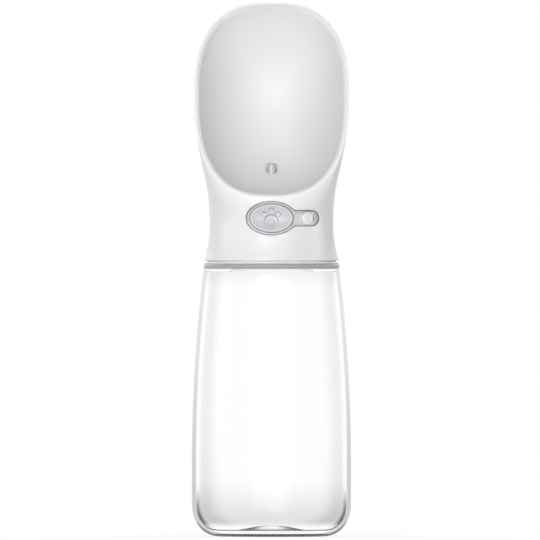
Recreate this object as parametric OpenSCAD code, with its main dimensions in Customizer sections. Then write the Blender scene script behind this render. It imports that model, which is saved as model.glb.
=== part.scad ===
// Dog travel water bottle.
// A clear bottle screws up into a head. The head is one white shell that opens
// into a slanted drinking bowl. A button in the waist opens a spring valve
// between the bottle and the bowl, and a small sliding knob beside it is its lock.
// Z is up, the bottle stands on Z = 0, and the button faces -Y.

/* [Bottle] */
// Height of the bottle up to its shoulder
bottle_h = 111.2; // [100:0.2:130]
// Radius at the widest place
bottle_r = 33.1; // [31:0.1:35]
// Height of the widest place
bottle_widest_z = 31.7; // [26:0.1:40]
// Radius of the shoulder under the ring
shoulder_r = 28.2; // [27.6:0.1:29]
// Wall of the bottle
bottle_wall = 1.8; // [1.4:0.1:2.2]
// Radius of the flat foot, outside
foot_r = 22; // [20:0.5:24]
// Width of the flat foot ring
foot_w = 4; // [3:0.5:6]
// Height of the round between the foot and the side
foot_round_h = 13; // [9:0.5:18]
// Thickness of the floor over the foot
floor_t = 2.6; // [2:0.1:3.2]
// Rise of the dome under the base
dome_rise = 4.5; // [3:0.5:6]
// Thickness of the floor at the middle of the dome
dome_t = 1.4; // [1:0.1:2]

/* [Neck and thread] */
// Outer radius of the neck
neck_r = 19; // [18:0.1:19.4]
// Wall of the neck
neck_wall = 2; // [1.6:0.1:2.4]
// Height of the neck above the shoulder
neck_h = 10.5; // [10.2:0.1:11.5]
// Rise of the thread in one turn
thread_lead = 6; // [5.6:0.1:6.4]
// Height of the thread ridge above the neck
thread_depth = 1.4; // [1.1:0.1:1.5]
// Width of a ridge at its root
thread_root_w = 1.5; // [1.2:0.1:1.6]
// Width of a ridge at its crest
thread_crest_w = 0.8; // [0.5:0.1:1]
// Radial gap between a crest and the opposite root
thread_gap = 0.4; // [0.3:0.05:0.5]

/* [Ring and cap] */
// Height of the grey ring between the bottle and the head
ring_h = 2.2; // [1.6:0.1:2.4]
// Rounding of the ring's outer edge
ring_round = 0.7; // [0.3:0.1:0.8]
// Height of the visible band under the head shell
band_h = 0.8; // [0.6:0.1:1.2]
// How far the band stands inside the ring's edge
band_step = 0.4; // [0.2:0.1:0.8]
// Height of the dark seam above the band
seam_h = 0.5; // [0.3:0.1:0.8]
// Depth of the seam
seam_depth = 1; // [0.6:0.1:1.3]
// Wall of the threaded skirt
skirt_wall = 2; // [1.6:0.1:2.2]
// Thickness of the deck that carries the valve
deck_t = 2; // [1.6:0.1:2.2]
// Thickness of the gasket on the bottle's mouth
gasket_t = 1.1; // [0.8:0.1:1.4]
// Height of the collar that the shell slips over
spigot_h = 2; // [1.4:0.1:2.4]
// Wall of that collar
spigot_wall = 1.6; // [1.2:0.1:1.8]

/* [Head shell] */
// Radius of the waist
waist_r = 25.7; // [25.4:0.1:26.4]
// Height of the waist above the shoulder
waist_h = 18.3; // [17:0.1:19]
// Radius at the lower edge
collar_r = 28; // [27.6:0.1:28.6]
// Height of the front lip above the shoulder
lip_h = 29.3; // [29:0.1:31]
// Rise of the rim from the front lip to the top
rim_rise = 81.5; // [76:0.5:88]
// How far forward of the axis the front lip lies
lip_reach = 26.2; // [25.8:0.1:27]
// How far behind the axis the top of the rim lies
top_reach = 14; // [10:0.5:16]
// Half width of the rim
rim_half_w = 32.2; // [30.5:0.1:33.5]
// Height of the rim's widest place, as a share of its rise
rim_widest = 0.529; // [0.5:0.005:0.56]
// Squareness of the rim outline, 2 is an ellipse
rim_power = 2.6; // [2.3:0.05:2.8]
// Wall of the shell
shell_wall = 2; // [1.8:0.1:2.2]
// Width of the shell's edge round the bowl
rim_edge = 1.1; // [0.9:0.1:1.4]

/* [Bowl] */
// Depth of the bowl, square to its rim
bowl_depth = 32; // [29:0.5:32.5]
// Wall of the bowl
bowl_wall = 1.6; // [1.3:0.1:1.8]
// Width of the bowl's own rim band
bowl_band = 1.1; // [0.8:0.1:1.5]
// How far the band lies below the shell's edge
bowl_sink = 0.4; // [0.2:0.1:0.8]
// Gap between the bowl's rim and the shell
bowl_gap = 0.2; // [0.1:0.05:0.3]
// Place of the water outlet, as a share of the way from the valve's cap to the housing's wall
outlet_share = 0.47; // [0.44:0.01:0.5]
// Outer radius of the outlet nozzle
nozzle_r = 2.1; // [1.8:0.1:2.3]
// Radius of the water passage
passage_r = 1.2; // [0.9:0.1:1.3]

/* [Button] */
// Height of the button's centre above the shoulder
button_h = 21.1; // [20.8:0.1:21.6]
// Width of the button
button_w = 17.9; // [16:0.1:18.4]
// Height of the button's face
button_tall = 11.8; // [10.8:0.1:12]
// How far the button's face stands out from the axis
button_reach = 26.1; // [25.6:0.1:26.6]
// Travel of the button
button_travel = 3; // [2:0.1:3]
// Gap round the button
button_gap = 0.3; // [0.2:0.05:0.4]
// Wall of the button
button_wall = 1.5; // [1.2:0.1:1.7]
// Width of the retaining flange round the button's back
button_flange_w = 0.8; // [0.5:0.1:0.9]
// Thickness of the retaining flange
button_flange_t = 1.2; // [0.8:0.1:1.3]
// Width of the oval recess
recess_w = 21.4; // [20.6:0.1:22]
// Height of the oval recess
recess_tall = 14; // [13.6:0.1:14.4]
// Depth of the recess under the shell's surface
recess_depth = 0.9; // [0.6:0.1:1.2]
// Depth of the moulded paw
paw_depth = 0.4; // [0.2:0.1:0.6]

/* [Lock] */
// Angle of the lock knob round from the front
lock_angle = 36; // [34:0.5:38]
// Diameter of the knob
knob_d = 5.6; // [4.8:0.1:5.8]
// Height of the knob over the recess
knob_h = 1.6; // [1:0.1:2]
// Diameter of the knob's stem
knob_stem_d = 3; // [2.4:0.1:3.2]
// Travel of the lock
lock_travel = 2.4; // [1.6:0.1:2.4]
// Gap round the knob's stem in its slot
lock_gap = 0.15; // [0.1:0.05:0.2]
// Half height of the recess round the knob
lock_recess_r = 3.35; // [3:0.05:3.6]
// Thickness of the latch behind the slot
latch_t = 1.3; // [1:0.1:1.4]

/* [Valve] */
// Diameter of the valve seat
seat_d = 11; // [9:0.5:12]
// Diameter of the valve plug
plug_d = 14; // [13:0.5:16]
// Thickness of the valve plug
plug_t = 3.8; // [3:0.1:4.2]
// Diameter of the valve stem
stem_d = 4; // [3.6:0.1:4.2]
// Travel of the valve for the full travel of the button
valve_travel = 2; // [1.4:0.1:2]
// Running clearance round the stem
stem_gap = 0.05; // [0.03:0.01:0.08]
// Inner radius of the valve chamber
chamber_r = 9.5; // [9:0.1:9.7]
// Wall of the valve housing
housing_wall = 1.5; // [1.2:0.1:1.6]
// Inner height of the valve chamber
chamber_h = 3.2; // [3:0.1:3.4]
// Thickness of the gasket under the housing
housing_gasket_t = 0.6; // [0.4:0.1:0.8]
// Height of the return spring at rest
spring_h = 5.2; // [5:0.1:5.4]
// Mean radius of the return spring
spring_r = 5; // [4.8:0.1:5.2]
// Wire of the return spring
spring_wire = 0.8; // [0.6:0.1:0.8]
// Turns of the return spring
spring_turns = 3; // [2.5:0.5:3]

/* [Hidden] */
$fn = 72;
// Gap that keeps bodies apart where one moves against the other
run_gap = 0.3;
// Fit of a fixed piece in its seat
seat_fit = 0.05;
// Overlap that makes cuts clean and roots the thread in its wall
over = 0.3;

// Levels, from the shoulder of the bottle upwards
shoulder_z = bottle_h;
mouth_z = shoulder_z + neck_h;
ring_top_z = shoulder_z + ring_h;
band_top_z = ring_top_z + band_h;
shell_z = band_top_z + seam_h;
deck_z = mouth_z + gasket_t;
deck_top_z = deck_z + deck_t;
waist_z = shoulder_z + waist_h;
lip_z = shoulder_z + lip_h;
button_z = shoulder_z + button_h;

// Neck, thread and cap radii
neck_bore_r = neck_r - neck_wall;
cap_bore_r = neck_r + thread_depth + thread_gap;
skirt_r = cap_bore_r + skirt_wall;
skirt_gap = 0.5;
skirt_z = shoulder_z + skirt_gap;
band_r = shoulder_r - band_step;
seam_r = min(band_r, collar_r) - seam_depth;
thread_starts = 2;
thread_turns = 1;
thread_pitch = thread_lead / thread_starts;
thread_rise = 1.2;
thread_z = shoulder_z + thread_rise;
soft_margin = 0.2;
gasket_in_r = neck_bore_r + soft_margin;
gasket_out_r = cap_bore_r - 2 * soft_margin;

// Rim of the head: a plane that leans back, with its centre at the widest place
rim_run = lip_reach + top_reach;
rim_len = norm([rim_run, rim_rise]);
rim_up = [rim_run, rim_rise] / rim_len;
rim_in = [rim_up[1], -rim_up[0]];
rim_low_a = rim_len * rim_widest;
rim_high_a = rim_len - rim_low_a;
rim_c = [-lip_reach, lip_z] + rim_up * rim_low_a;
rim_sides = 56;

// How fully the bowl's floor fills out towards its rim, 0.5 is an ellipsoid
bowl_round = 0.7;

// How the shell leaves the waist and meets the rim, along each side line
waist_pull = 18;
waist_pull_lean = 14;
rim_pull_in = 2.4;
rim_pull_z = 22;
rim_pull_top = 17;
rim_pull_wall = 0.75;

// The shell's back stays behind the bowl: the curve follows this share of its pull
back_share = 4 / 9;
back_lean = 18.93;
rim_pull_back = (bowl_depth + bowl_wall - back_lean) / back_share;

// How soon the shell's wall thins towards its edge
edge_taper = 3;
edge_start = 0.25;

// Mechanism, outwards from the deck
housing_z = deck_top_z + housing_gasket_t;
chamber_top_z = housing_z + chamber_h;
housing_roof_t = 1.4;
housing_top_z = chamber_top_z + housing_roof_t;
housing_r = chamber_r + housing_wall;
housing_flange_w = 1.5;
housing_flange_r = housing_r + housing_flange_w;
housing_flange_t = 1.6;
stem_r = stem_d / 2;
stem_bore_r = stem_r + stem_gap;
o_ring_wire_r = 0.55;
o_ring_r = stem_bore_r + o_ring_wire_r;
o_ring_seat_r = o_ring_r + o_ring_wire_r + seat_fit;
boss_wall = 0.9;
boss_r = o_ring_seat_r + boss_wall;
boss_h = 2.2;
o_ring_floor = 0.6;
o_ring_z = housing_top_z + o_ring_floor;
cap_disc_z = housing_top_z + spring_h;
cap_disc_t = 1.4;
cap_disc_lip = 0.4;
cap_disc_r = spring_r + spring_wire / 2 + cap_disc_lip;
stem_seat_t = 0.6;
ramp_half = 3;
ramp_slope = valve_travel / button_travel;
ramp_foot = 0.2;
ramp_mid_z = cap_disc_z + cap_disc_t + ramp_foot + ramp_half * ramp_slope;
ramp_gap = 0.15;
ramp_w = 5;
stem_foot_r = 3.5;
stem_foot_t = 1.2;
plug_z = deck_z - plug_t;

// Button, its carriage and the plate that they slide in
plate_out_r = waist_r - recess_depth;
plate_back_r = waist_r - shell_wall - run_gap;
plate_t = 1.5;
plate_in_r = plate_back_r - plate_t;
plate_low_margin = 0.2;
plate_high_margin = 0.9;
plate_low_z = button_z - recess_tall / 2 - plate_low_margin;
plate_high_z = button_z + recess_tall / 2 + plate_high_margin;
plate_inset = 0.25;
plate_angle = 75;
button_flange_a = button_w / 2 + button_flange_w;
button_flange_y = -sqrt(pow(plate_in_r, 2) - pow(button_flange_a, 2)) + run_gap;
button_back_y = button_flange_y + button_flange_t;
arm_z = cap_disc_z + cap_disc_t + run_gap;
arm_t = 3.1;
arm_half_w = 4;
nose_y = 2.4;
nose_h = 4.9;
nose_lead = 1.2;
nose_gap = 0.1;
button_dish = 0.5;
carriage_gap = 0.2;
carriage_plate_t = 1.6;
carriage_half_w = 6;
guide_gap = 0.4;
guide_y = -cap_disc_r - guide_gap;
guide_len = 2.8;
guide_wall = 1.8;
guide_h = 2.4;

// Lock, along a radius at lock_angle
knob_stem_r = knob_stem_d / 2;
knob_pin_step = 0.5;
knob_pin_r = knob_stem_r - knob_pin_step;
knob_pin_tail = 0.4;
knob_chamfer = 0.5;
knob_under_r = plate_out_r + lock_gap;
latch_room = 1.3;
latch_out_r = plate_in_r - latch_room;
latch_in_r = latch_out_r - latch_t;
latch_near = 1.9;
latch_far = 3.4;
latch_half_tall = 2.4;
lock_x = plate_out_r * sin(lock_angle);
lock_end_x = lock_x + lock_travel * cos(lock_angle);

// Screws and what they go into
screw_r = 1.1;
screw_head_r = 2;
screw_head_h = 1.4;
screw_hole_gap = 0.1;
screw_hole_r = screw_r + screw_hole_gap;
screw_pilot_r = screw_r + seat_fit;
ear_r = 2.6;
ear_reach = 9.5;
screw_post_r = 2.2;
screw_post_h = 3.5;
post_angle = 66;
post_r = 2.4;
post_reach = plate_in_r - post_r - run_gap;
post_h = 5.2;
post_floor = 0.2;
plate_ear_t = 1.6;
plate_ear_root = 0.5;
screw_post_floor = 0.8;
screw_tip_gap = 0.4;

// Outlet: straight up from the rear of the housing to the bowl's floor
barb_wall = 0.8;
barb_h = 4;
barb_r = passage_r + barb_wall;
tube_wall = 1.1;
tube_in_r = barb_r + seat_fit;
tube_r = barb_r + tube_wall;
tube_near_y = cap_disc_r + tube_r + run_gap;
outlet_y = tube_near_y + (housing_r - tube_near_y) * outlet_share;
outlet_z = bowl_point(bowl_share(outlet_y, 0, 1, 24), -90, 0)[2];
nose_margin = 0.8;
nose_r = tube_r + nose_margin;
tube_foot_gap = 0.2;
tube_low_z = housing_top_z + tube_foot_gap;
nozzle_len = 5.7;
nozzle_lip = 2;
nozzle_collar_t = 1;
tube_top_z = outlet_z - nozzle_len;

// Signed power, which turns an ellipse into a squarer outline
function bend(v, p) = sign(v) * pow(abs(v), p);

// A point in the rim plane's frame: across, along the rim, and into the head
function rim_frame(x, s, d) = [
    x,
    rim_c[0] + s * rim_up[0] + d * rim_in[0],
    rim_c[1] + s * rim_up[1] + d * rim_in[1]
];

// The rim outline at angle a, drawn in by a margin; -90 is the front lip
function rim_x(a, margin) = (rim_half_w - margin) * bend(cos(a), 2 / rim_power);
function rim_s(a, margin) =
    ((sin(a) < 0 ? rim_low_a : rim_high_a) - margin) * bend(sin(a), 2 / rim_power);

// Outer radius of the shell below the waist
function collar_at(z) =
    waist_r + (collar_r - waist_r) * pow((waist_z - z) / (waist_z - shell_z), 2);

// A point between four, along a cubic curve
function curve(p, t) =
    let (u = 1 - t)
    p[0] * u * u * u + 3 * p[1] * t * u * u + 3 * p[2] * t * t * u + p[3] * t * t * t;

// A point of the shell above the waist: side line a, share t of its length
function shell_point(a, t, wall, edge) =
    let (
        q = bend(sin(a), 2 / rim_power),
        start = [(waist_r - wall) * cos(a), (waist_r - wall) * sin(a), waist_z],
        end = rim_frame(rim_x(a, edge), rim_s(a, edge), 0),
        inward = rim_pull_in * cos(a) * pow(1 - q, 2) * (1 + q),
        back = (rim_pull_back - rim_pull_wall * wall) * pow((1 + q) / 2, 2),
        down = rim_pull_z + q - rim_pull_top * q * q,
        rise = waist_pull + waist_pull_lean * q
    )
    curve([start, start + [0, 0, rise], end + [-inward, back, -down], end], t);

// One level ring of the shell below the waist
function collar_ring(z, wall) = [
    for (i = [0:rim_sides - 1])
        let (a = 360 * i / rim_sides, r = collar_at(z) - wall)
        [r * cos(a), r * sin(a), z]
];

// The wall at share t: it thins to the edge where the bowl's rim lies close
function edge_at(t) =
    rim_edge + (shell_wall - rim_edge) * min(1, max(0, edge_taper * (1 - t) - edge_start));
function shell_ring(t, wall, edge) = [
    for (i = [0:rim_sides - 1]) shell_point(360 * i / rim_sides, t, wall, edge)
];

// A point of the bowl: share m from its centre to its rim, at angle a
function bowl_point(m, a, wall) =
    let (margin = rim_edge + bowl_gap + (wall > 0 ? 0 : bowl_band))
    rim_frame(
        m * rim_x(a, margin),
        m * rim_s(a, margin),
        bowl_sink + (bowl_depth + wall) * pow(1 - m * m, bowl_round)
    );
function bowl_ring(m, wall) = [
    for (i = [0:rim_sides - 1]) bowl_point(m, 360 * i / rim_sides, wall)
];

// The share at which the bowl's floor, in the middle plane, lies over a place y
function bowl_share(y, low, high, halvings) =
    let (middle = (low + high) / 2, behind = bowl_point(middle, -90, 0)[1] > y)
    halvings == 0 ? middle : bowl_share(y, behind ? middle : low, behind ? high : middle, halvings - 1);

// Triangles between ring j and ring k of a stack of rings with n points each
function band_faces(j, k, n) = [
    for (i = [0:n - 1])
        let (e = (i + 1) % n)
        each [[j * n + i, j * n + e, k * n + e], [j * n + i, k * n + e, k * n + i]]
];

// A tube-like solid whose last ring joins its first
module closed_loft(rings) {
    n = len(rings[0]);
    count = len(rings);
    polyhedron(
        points = [for (r = rings) each r],
        faces = [for (j = [0:count - 1]) each band_faces((j + 1) % count, j, n)]
    );
}

// A dished solid: rings from one pole to the other
module domed_loft(first_pole, rings, last_pole) {
    n = len(rings[0]);
    count = len(rings);
    polyhedron(
        points = concat([for (r = rings) each r], [first_pole, last_pole]),
        faces = concat(
            [for (i = [0:n - 1]) [(i + 1) % n, i, count * n]],
            [for (j = [0:count - 2]) each band_faces(j + 1, j, n)],
            [for (i = [0:n - 1]) let (j = (count - 1) * n) [j + i, j + (i + 1) % n, count * n + 1]]
        )
    );
}

// Helical ridges: wall_r is the wall that they stand on, crest_r their tips
module thread_ridges(wall_r, crest_r, z) {
    steps = 40;
    fade = 0.06;
    least_tip = 0.05;
    root_r = wall_r + (crest_r > wall_r ? -over : over);
    function tip(k) = wall_r + (crest_r - wall_r) * max(least_tip, min(1, k / fade, (1 - k) / fade));
    function section(k) =
        let (a = 360 * thread_turns * k, h = z + thread_lead * thread_turns * k, r = tip(k))
        [
            [root_r * cos(a), root_r * sin(a), h - thread_root_w / 2],
            [r * cos(a), r * sin(a), h - thread_crest_w / 2],
            [r * cos(a), r * sin(a), h + thread_crest_w / 2],
            [root_r * cos(a), root_r * sin(a), h + thread_root_w / 2]
        ];
    outward = crest_r > wall_r;
    first_end = outward ? [3, 2, 1, 0] : [0, 1, 2, 3];
    last_end = [for (i = outward ? [0:3] : [3:-1:0]) steps * 4 + i];
    for (s = [0:thread_starts - 1])
        rotate([0, 0, 360 * s / thread_starts])
            polyhedron(
                points = [for (j = [0:steps]) each section(j / steps)],
                faces = concat(
                    [for (j = [0:steps - 1]) each band_faces(outward ? j : j + 1, outward ? j + 1 : j, 4)],
                    [first_end, last_end]
                )
            );
}

// A pan-head screw that stands on z = 0, with its shank below
module screw(shank) {
    slot_w = 0.5;
    slot_len = 2.6;
    slot_depth = 0.7;
    difference() {
        union() {
            cylinder(r = screw_head_r, h = screw_head_h);
            translate([0, 0, -shank])
                cylinder(r = screw_r, h = shank + over);
        }
        for (a = [0, 90])
            rotate([0, 0, a])
                translate([-slot_len / 2, -slot_w / 2, screw_head_h - slot_depth])
                    cube([slot_len, slot_w, slot_depth + over]);
    }
}

// Outline of an oval, as seen from the front
module oval(w, tall) {
    polygon([for (i = [0:$fn - 1]) let (a = 360 * i / $fn) [w / 2 * cos(a), tall / 2 * sin(a)]]);
}

// Outline of the recess: the oval and the round slot for the knob
module keyhole(grow) {
    blend = 1.6;
    offset(r = -blend)
        offset(r = blend) {
            oval(recess_w + 2 * grow, recess_tall + 2 * grow);
            translate([0, -lock_recess_r - grow])
                square([lock_end_x, 2 * (lock_recess_r + grow)]);
            translate([lock_end_x, 0])
                circle(r = lock_recess_r + grow);
        }
}

// Carries a front outline from the button's axis out through the front
module forward(from_y, to_y) {
    translate([0, from_y, button_z])
        rotate([90, 0, 0])
            linear_extrude(from_y - to_y)
                children();
}

// Frame of the lock: X outwards through the knob, Y the way that it slides
module at_lock() {
    translate([0, 0, button_z])
        rotate([0, 0, lock_angle - 90])
            children();
}

// Four screw places round the valve housing
module at_housing_screws(z) {
    for (x = [-1, 1], y = [-1, 1])
        translate([x * ear_reach, y * ear_reach, z])
            children();
}

// Two screw places beside the control plate
module at_plate_screws(z) {
    for (side = [-1, 1])
        translate([side * post_reach * sin(post_angle), -post_reach * cos(post_angle), z])
            children();
}

// Outer radius of the bottle over its widest place
function bottle_side(z) =
    bottle_r - (bottle_r - shoulder_r) * pow((z - bottle_widest_z) / (shoulder_z - bottle_widest_z), 2);

module bottle() {
    arc_steps = 12;
    side_steps = 16;
    dome_steps = 6;
    shoulder_round = 0.5;
    shoulder_fill = 2.4 * bottle_wall;
    foot_fill = 2;
    inner_foot_r = foot_r - foot_fill;
    inner_r = bottle_r - bottle_wall;
    dome_r = foot_r - foot_w;
    out_side_h = shoulder_z - 1.2 * shoulder_round - bottle_widest_z;
    in_side_h = shoulder_z - shoulder_fill - bottle_widest_z;
    outside = concat(
        [for (i = [0:arc_steps]) let (a = 90 * i / arc_steps) [
            foot_r + (bottle_r - foot_r) * sin(a),
            foot_round_h * (1 - cos(a))
        ]],
        [for (i = [0:side_steps]) let (z = bottle_widest_z + out_side_h * i / side_steps) [
            bottle_side(z), z
        ]]
    );
    inside = concat(
        [for (i = [side_steps:-1:0]) let (z = bottle_widest_z + in_side_h * i / side_steps) [
            bottle_side(z) - bottle_wall, z
        ]],
        [for (i = [arc_steps:-1:0]) let (a = 90 * i / arc_steps) [
            inner_foot_r + (inner_r - inner_foot_r) * sin(a),
            foot_round_h - (foot_round_h - floor_t) * cos(a)
        ]],
        [for (i = [0:dome_steps]) let (a = 90 * i / dome_steps) [
            dome_r * cos(a),
            floor_t + (dome_rise + dome_t - floor_t) * sin(a)
        ]]
    );
    under = [for (i = [dome_steps:-1:0]) let (a = 90 * i / dome_steps) [dome_r * cos(a), dome_rise * sin(a)]];
    color("aliceblue")
        union() {
            rotate_extrude()
                polygon(concat(
                    under,
                    outside,
                    [
                        [shoulder_r - shoulder_round, shoulder_z],
                        [neck_r, shoulder_z],
                        [neck_r, mouth_z],
                        [neck_bore_r, mouth_z],
                        [neck_bore_r, shoulder_z - bottle_wall],
                        [shoulder_r - shoulder_fill, shoulder_z - bottle_wall]
                    ],
                    inside
                ));
            thread_ridges(neck_r, neck_r + thread_depth, thread_z);
        }
}

module seal_ring() {
    in_r = skirt_r + run_gap;
    color("darkgray")
        rotate_extrude() {
            translate([in_r, shoulder_z])
                square([shoulder_r - ring_round - in_r, ring_h]);
            translate([in_r, shoulder_z + ring_round])
                square([shoulder_r - in_r, ring_h - 2 * ring_round]);
            for (z = [shoulder_z + ring_round, ring_top_z - ring_round])
                translate([shoulder_r - ring_round, z])
                    circle(r = ring_round);
        }
}

module neck_gasket() {
    color("gainsboro")
        translate([0, 0, mouth_z])
            difference() {
                cylinder(r = gasket_out_r, h = gasket_t);
                translate([0, 0, -over])
                    cylinder(r = gasket_in_r, h = gasket_t + 2 * over);
            }
}

module inner_cap() {
    spigot_out_r = collar_at(shell_z + spigot_h) - shell_wall - run_gap;
    color("white")
        difference() {
            union() {
                rotate_extrude()
                    polygon([
                        [cap_bore_r, skirt_z],
                        [skirt_r, skirt_z],
                        [skirt_r, ring_top_z],
                        [band_r, ring_top_z],
                        [band_r, band_top_z],
                        [seam_r, band_top_z],
                        [seam_r, shell_z],
                        [spigot_out_r, shell_z],
                        [spigot_out_r, shell_z + spigot_h],
                        [spigot_out_r - spigot_wall, shell_z + spigot_h],
                        [spigot_out_r - spigot_wall, shell_z],
                        [skirt_r, shell_z],
                        [skirt_r, deck_top_z],
                        [seat_d / 2, deck_top_z],
                        [seat_d / 2, deck_z],
                        [cap_bore_r, deck_z]
                    ]);
                thread_ridges(cap_bore_r, cap_bore_r - thread_depth, thread_z + thread_pitch / 2);
                at_housing_screws(deck_z - screw_post_h)
                    cylinder(r = screw_post_r, h = screw_post_h + over);
                at_plate_screws(deck_top_z - over)
                    cylinder(r = post_r, h = post_h + over);
            }
            at_housing_screws(deck_z - screw_post_h + screw_post_floor)
                cylinder(r = screw_pilot_r, h = screw_post_h + deck_t);
            at_plate_screws(deck_top_z + post_floor)
                cylinder(r = screw_pilot_r, h = post_h + over);
        }
}

module head_shell() {
    collar_steps = 6;
    loft_steps = 18;
    levels = [for (j = [0:collar_steps - 1]) shell_z + (waist_z - shell_z) * j / collar_steps];
    color("white")
        difference() {
            closed_loft(concat(
                [for (z = levels) collar_ring(z, 0)],
                [for (j = [0:loft_steps]) shell_ring(j / loft_steps, 0, 0)],
                [for (j = [loft_steps:-1:0]) shell_ring(j / loft_steps, shell_wall, edge_at(j / loft_steps))],
                [for (j = [collar_steps - 1:-1:0]) collar_ring(levels[j], shell_wall)]
            ));
            forward(0, -2 * waist_r)
                keyhole(0);
        }
}

module bowl() {
    steps = 14;
    hole_reach = bowl_depth / 2;
    shares = [for (j = [1:steps]) sin(90 * j / steps)];
    color("whitesmoke")
        difference() {
            domed_loft(
                bowl_point(0, 0, 0),
                concat(
                    [for (m = shares) bowl_ring(m, 0)],
                    [for (j = [steps - 1:-1:0]) bowl_ring(shares[j], bowl_wall)]
                ),
                bowl_point(0, 0, bowl_wall)
            );
            translate([0, outlet_y, outlet_z - hole_reach])
                cylinder(r = nozzle_r + seat_fit, h = 2 * hole_reach);
        }
}

module control_plate() {
    slot_r = knob_stem_r + lock_gap;
    slot_reach = 2 * plate_t;
    ear_len = plate_in_r + plate_ear_root - post_reach;
    color("lightgray")
        difference() {
            union() {
                intersection() {
                    forward(0, -2 * waist_r)
                        keyhole(-plate_inset);
                    translate([0, 0, button_z - recess_tall])
                        difference() {
                            cylinder(r = plate_out_r, h = 2 * recess_tall);
                            translate([0, 0, -over])
                                cylinder(r = plate_back_r - over, h = 2 * recess_tall + 2 * over);
                        }
                }
                translate([0, 0, plate_low_z])
                    rotate([0, 0, -90 - plate_angle])
                        rotate_extrude(angle = 2 * plate_angle)
                            translate([plate_in_r, 0])
                                square([plate_t, plate_high_z - plate_low_z]);
                at_plate_screws(deck_top_z + post_h)
                    cylinder(r = post_r, h = plate_ear_t);
                for (side = [-1, 1])
                    translate([0, 0, deck_top_z + post_h])
                        rotate([0, 0, -90 + side * post_angle])
                            translate([post_reach, -post_r])
                                cube([ear_len, 2 * post_r, plate_ear_t]);
            }
            forward(0, -2 * waist_r)
                oval(button_w + 2 * button_gap, button_tall + 2 * button_gap);
            at_plate_screws(deck_top_z)
                cylinder(r = screw_hole_r, h = 2 * post_h);
            at_lock()
                translate([plate_in_r - slot_reach, 0, 0])
                    rotate([0, 90, 0])
                        linear_extrude(2 * slot_reach + plate_t) {
                            circle(r = slot_r);
                            translate([-slot_r, 0])
                                square([2 * slot_r, lock_travel]);
                            translate([0, lock_travel])
                                circle(r = slot_r);
                        }
        }
}

module control_plate_screws() {
    color("silver")
        at_plate_screws(deck_top_z + post_h + plate_ear_t)
            screw(post_h - post_floor + plate_ear_t - screw_tip_gap);
}

module housing_screws() {
    color("silver")
        at_housing_screws(housing_z + housing_flange_t)
            screw(
                housing_flange_t + housing_gasket_t + deck_t + screw_post_h
                - screw_post_floor - screw_tip_gap
            );
}

// The paw that is pressed into the dished face: three toes and a pad with a raised middle
module paw() {
    toes = [[-3, 1.6, 1], [0, 3.1, 1.1], [2.8, 1.6, 1]];
    pad_r = 2.8;
    pad_drop = 1.4;
    middle_r = 1.4;
    middle_drop = 0.4;
    translate([0, -pad_drop])
        difference() {
            circle(r = pad_r);
            translate([0, -middle_drop])
                circle(r = middle_r);
        }
    for (toe = toes)
        translate([toe[0], toe[1]])
            circle(r = toe[2]);
}

// One oval ring of points, as seen from the front, at depth y
function oval_ring(w, tall, y) = [
    for (i = [0:rim_sides - 1])
        let (a = 360 * i / rim_sides)
        [w / 2 * cos(a), y, button_z + tall / 2 * sin(a)]
];

module button_cap() {
    bevel = 0.6;
    dish_slope = 0.5;
    rim_w = 1.1;
    front_y = -button_reach;
    face_y = front_y + button_dish;
    hollow_y = face_y + button_wall;
    function inset(m, y) = oval_ring(button_w - 2 * m, button_tall - 2 * m, y);
    color("gainsboro")
        difference() {
            domed_loft(
                [0, face_y, button_z],
                [
                    inset(rim_w + dish_slope, face_y),
                    inset(rim_w, front_y),
                    inset(bevel, front_y),
                    inset(0, front_y + bevel),
                    inset(0, button_flange_y),
                    inset(-button_flange_w, button_flange_y),
                    inset(-button_flange_w, button_back_y),
                    inset(button_wall, button_back_y),
                    inset(button_wall, hollow_y)
                ],
                [0, hollow_y, button_z]
            );
            forward(face_y + paw_depth, front_y - over)
                paw();
        }
}

module button_carriage() {
    foot_inset = 1.2;
    low_z = button_z - button_tall / 2 + foot_inset;
    root_half_w = 5;
    root_half_tall = 2.4;
    root_y = -button_reach + button_dish + button_wall + carriage_gap;
    cut = 4 * arm_half_w;
    color("lightsteelblue")
        difference() {
            union() {
                translate([-root_half_w, root_y, button_z - root_half_tall])
                    cube([2 * root_half_w, button_back_y + carriage_plate_t - root_y, 2 * root_half_tall]);
                translate([-carriage_half_w, button_back_y, low_z])
                    cube([2 * carriage_half_w, carriage_plate_t, arm_z + arm_t - low_z]);
                translate([-arm_half_w, button_back_y, arm_z])
                    cube([2 * arm_half_w, nose_y - button_back_y, arm_t]);
                translate([-arm_half_w, -ramp_half - nose_lead, arm_z])
                    cube([2 * arm_half_w, ramp_half + nose_lead + nose_y, nose_h]);
            }
            translate([0, 0, ramp_mid_z + ramp_gap])
                rotate([atan(ramp_slope), 0, 0])
                    translate([-cut / 2, -ramp_half / cos(atan(ramp_slope)) - nose_gap, -cut])
                        cube([cut, cut, cut]);
        }
}

module lock_knob() {
    color("gainsboro")
        at_lock()
            rotate([0, 90, 0]) {
                translate([0, 0, latch_in_r - knob_pin_tail])
                    cylinder(r = knob_pin_r, h = latch_t + knob_pin_tail + over);
                translate([0, 0, latch_out_r])
                    cylinder(r = knob_stem_r, h = knob_under_r - latch_out_r + over);
                translate([0, 0, knob_under_r])
                    cylinder(d = knob_d, h = knob_h - knob_chamfer);
                translate([0, 0, knob_under_r + knob_h - knob_chamfer])
                    cylinder(d1 = knob_d, d2 = knob_d - 2 * knob_chamfer, h = knob_chamfer);
            }
}

module lock_latch() {
    color("dimgray")
        at_lock()
            difference() {
                translate([latch_in_r, -latch_near, -latch_half_tall])
                    cube([latch_t, latch_near + latch_far, 2 * latch_half_tall]);
                translate([latch_in_r - over, 0, 0])
                    rotate([0, 90, 0])
                        cylinder(r = knob_pin_r + seat_fit, h = latch_t + 2 * over);
            }
}

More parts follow.
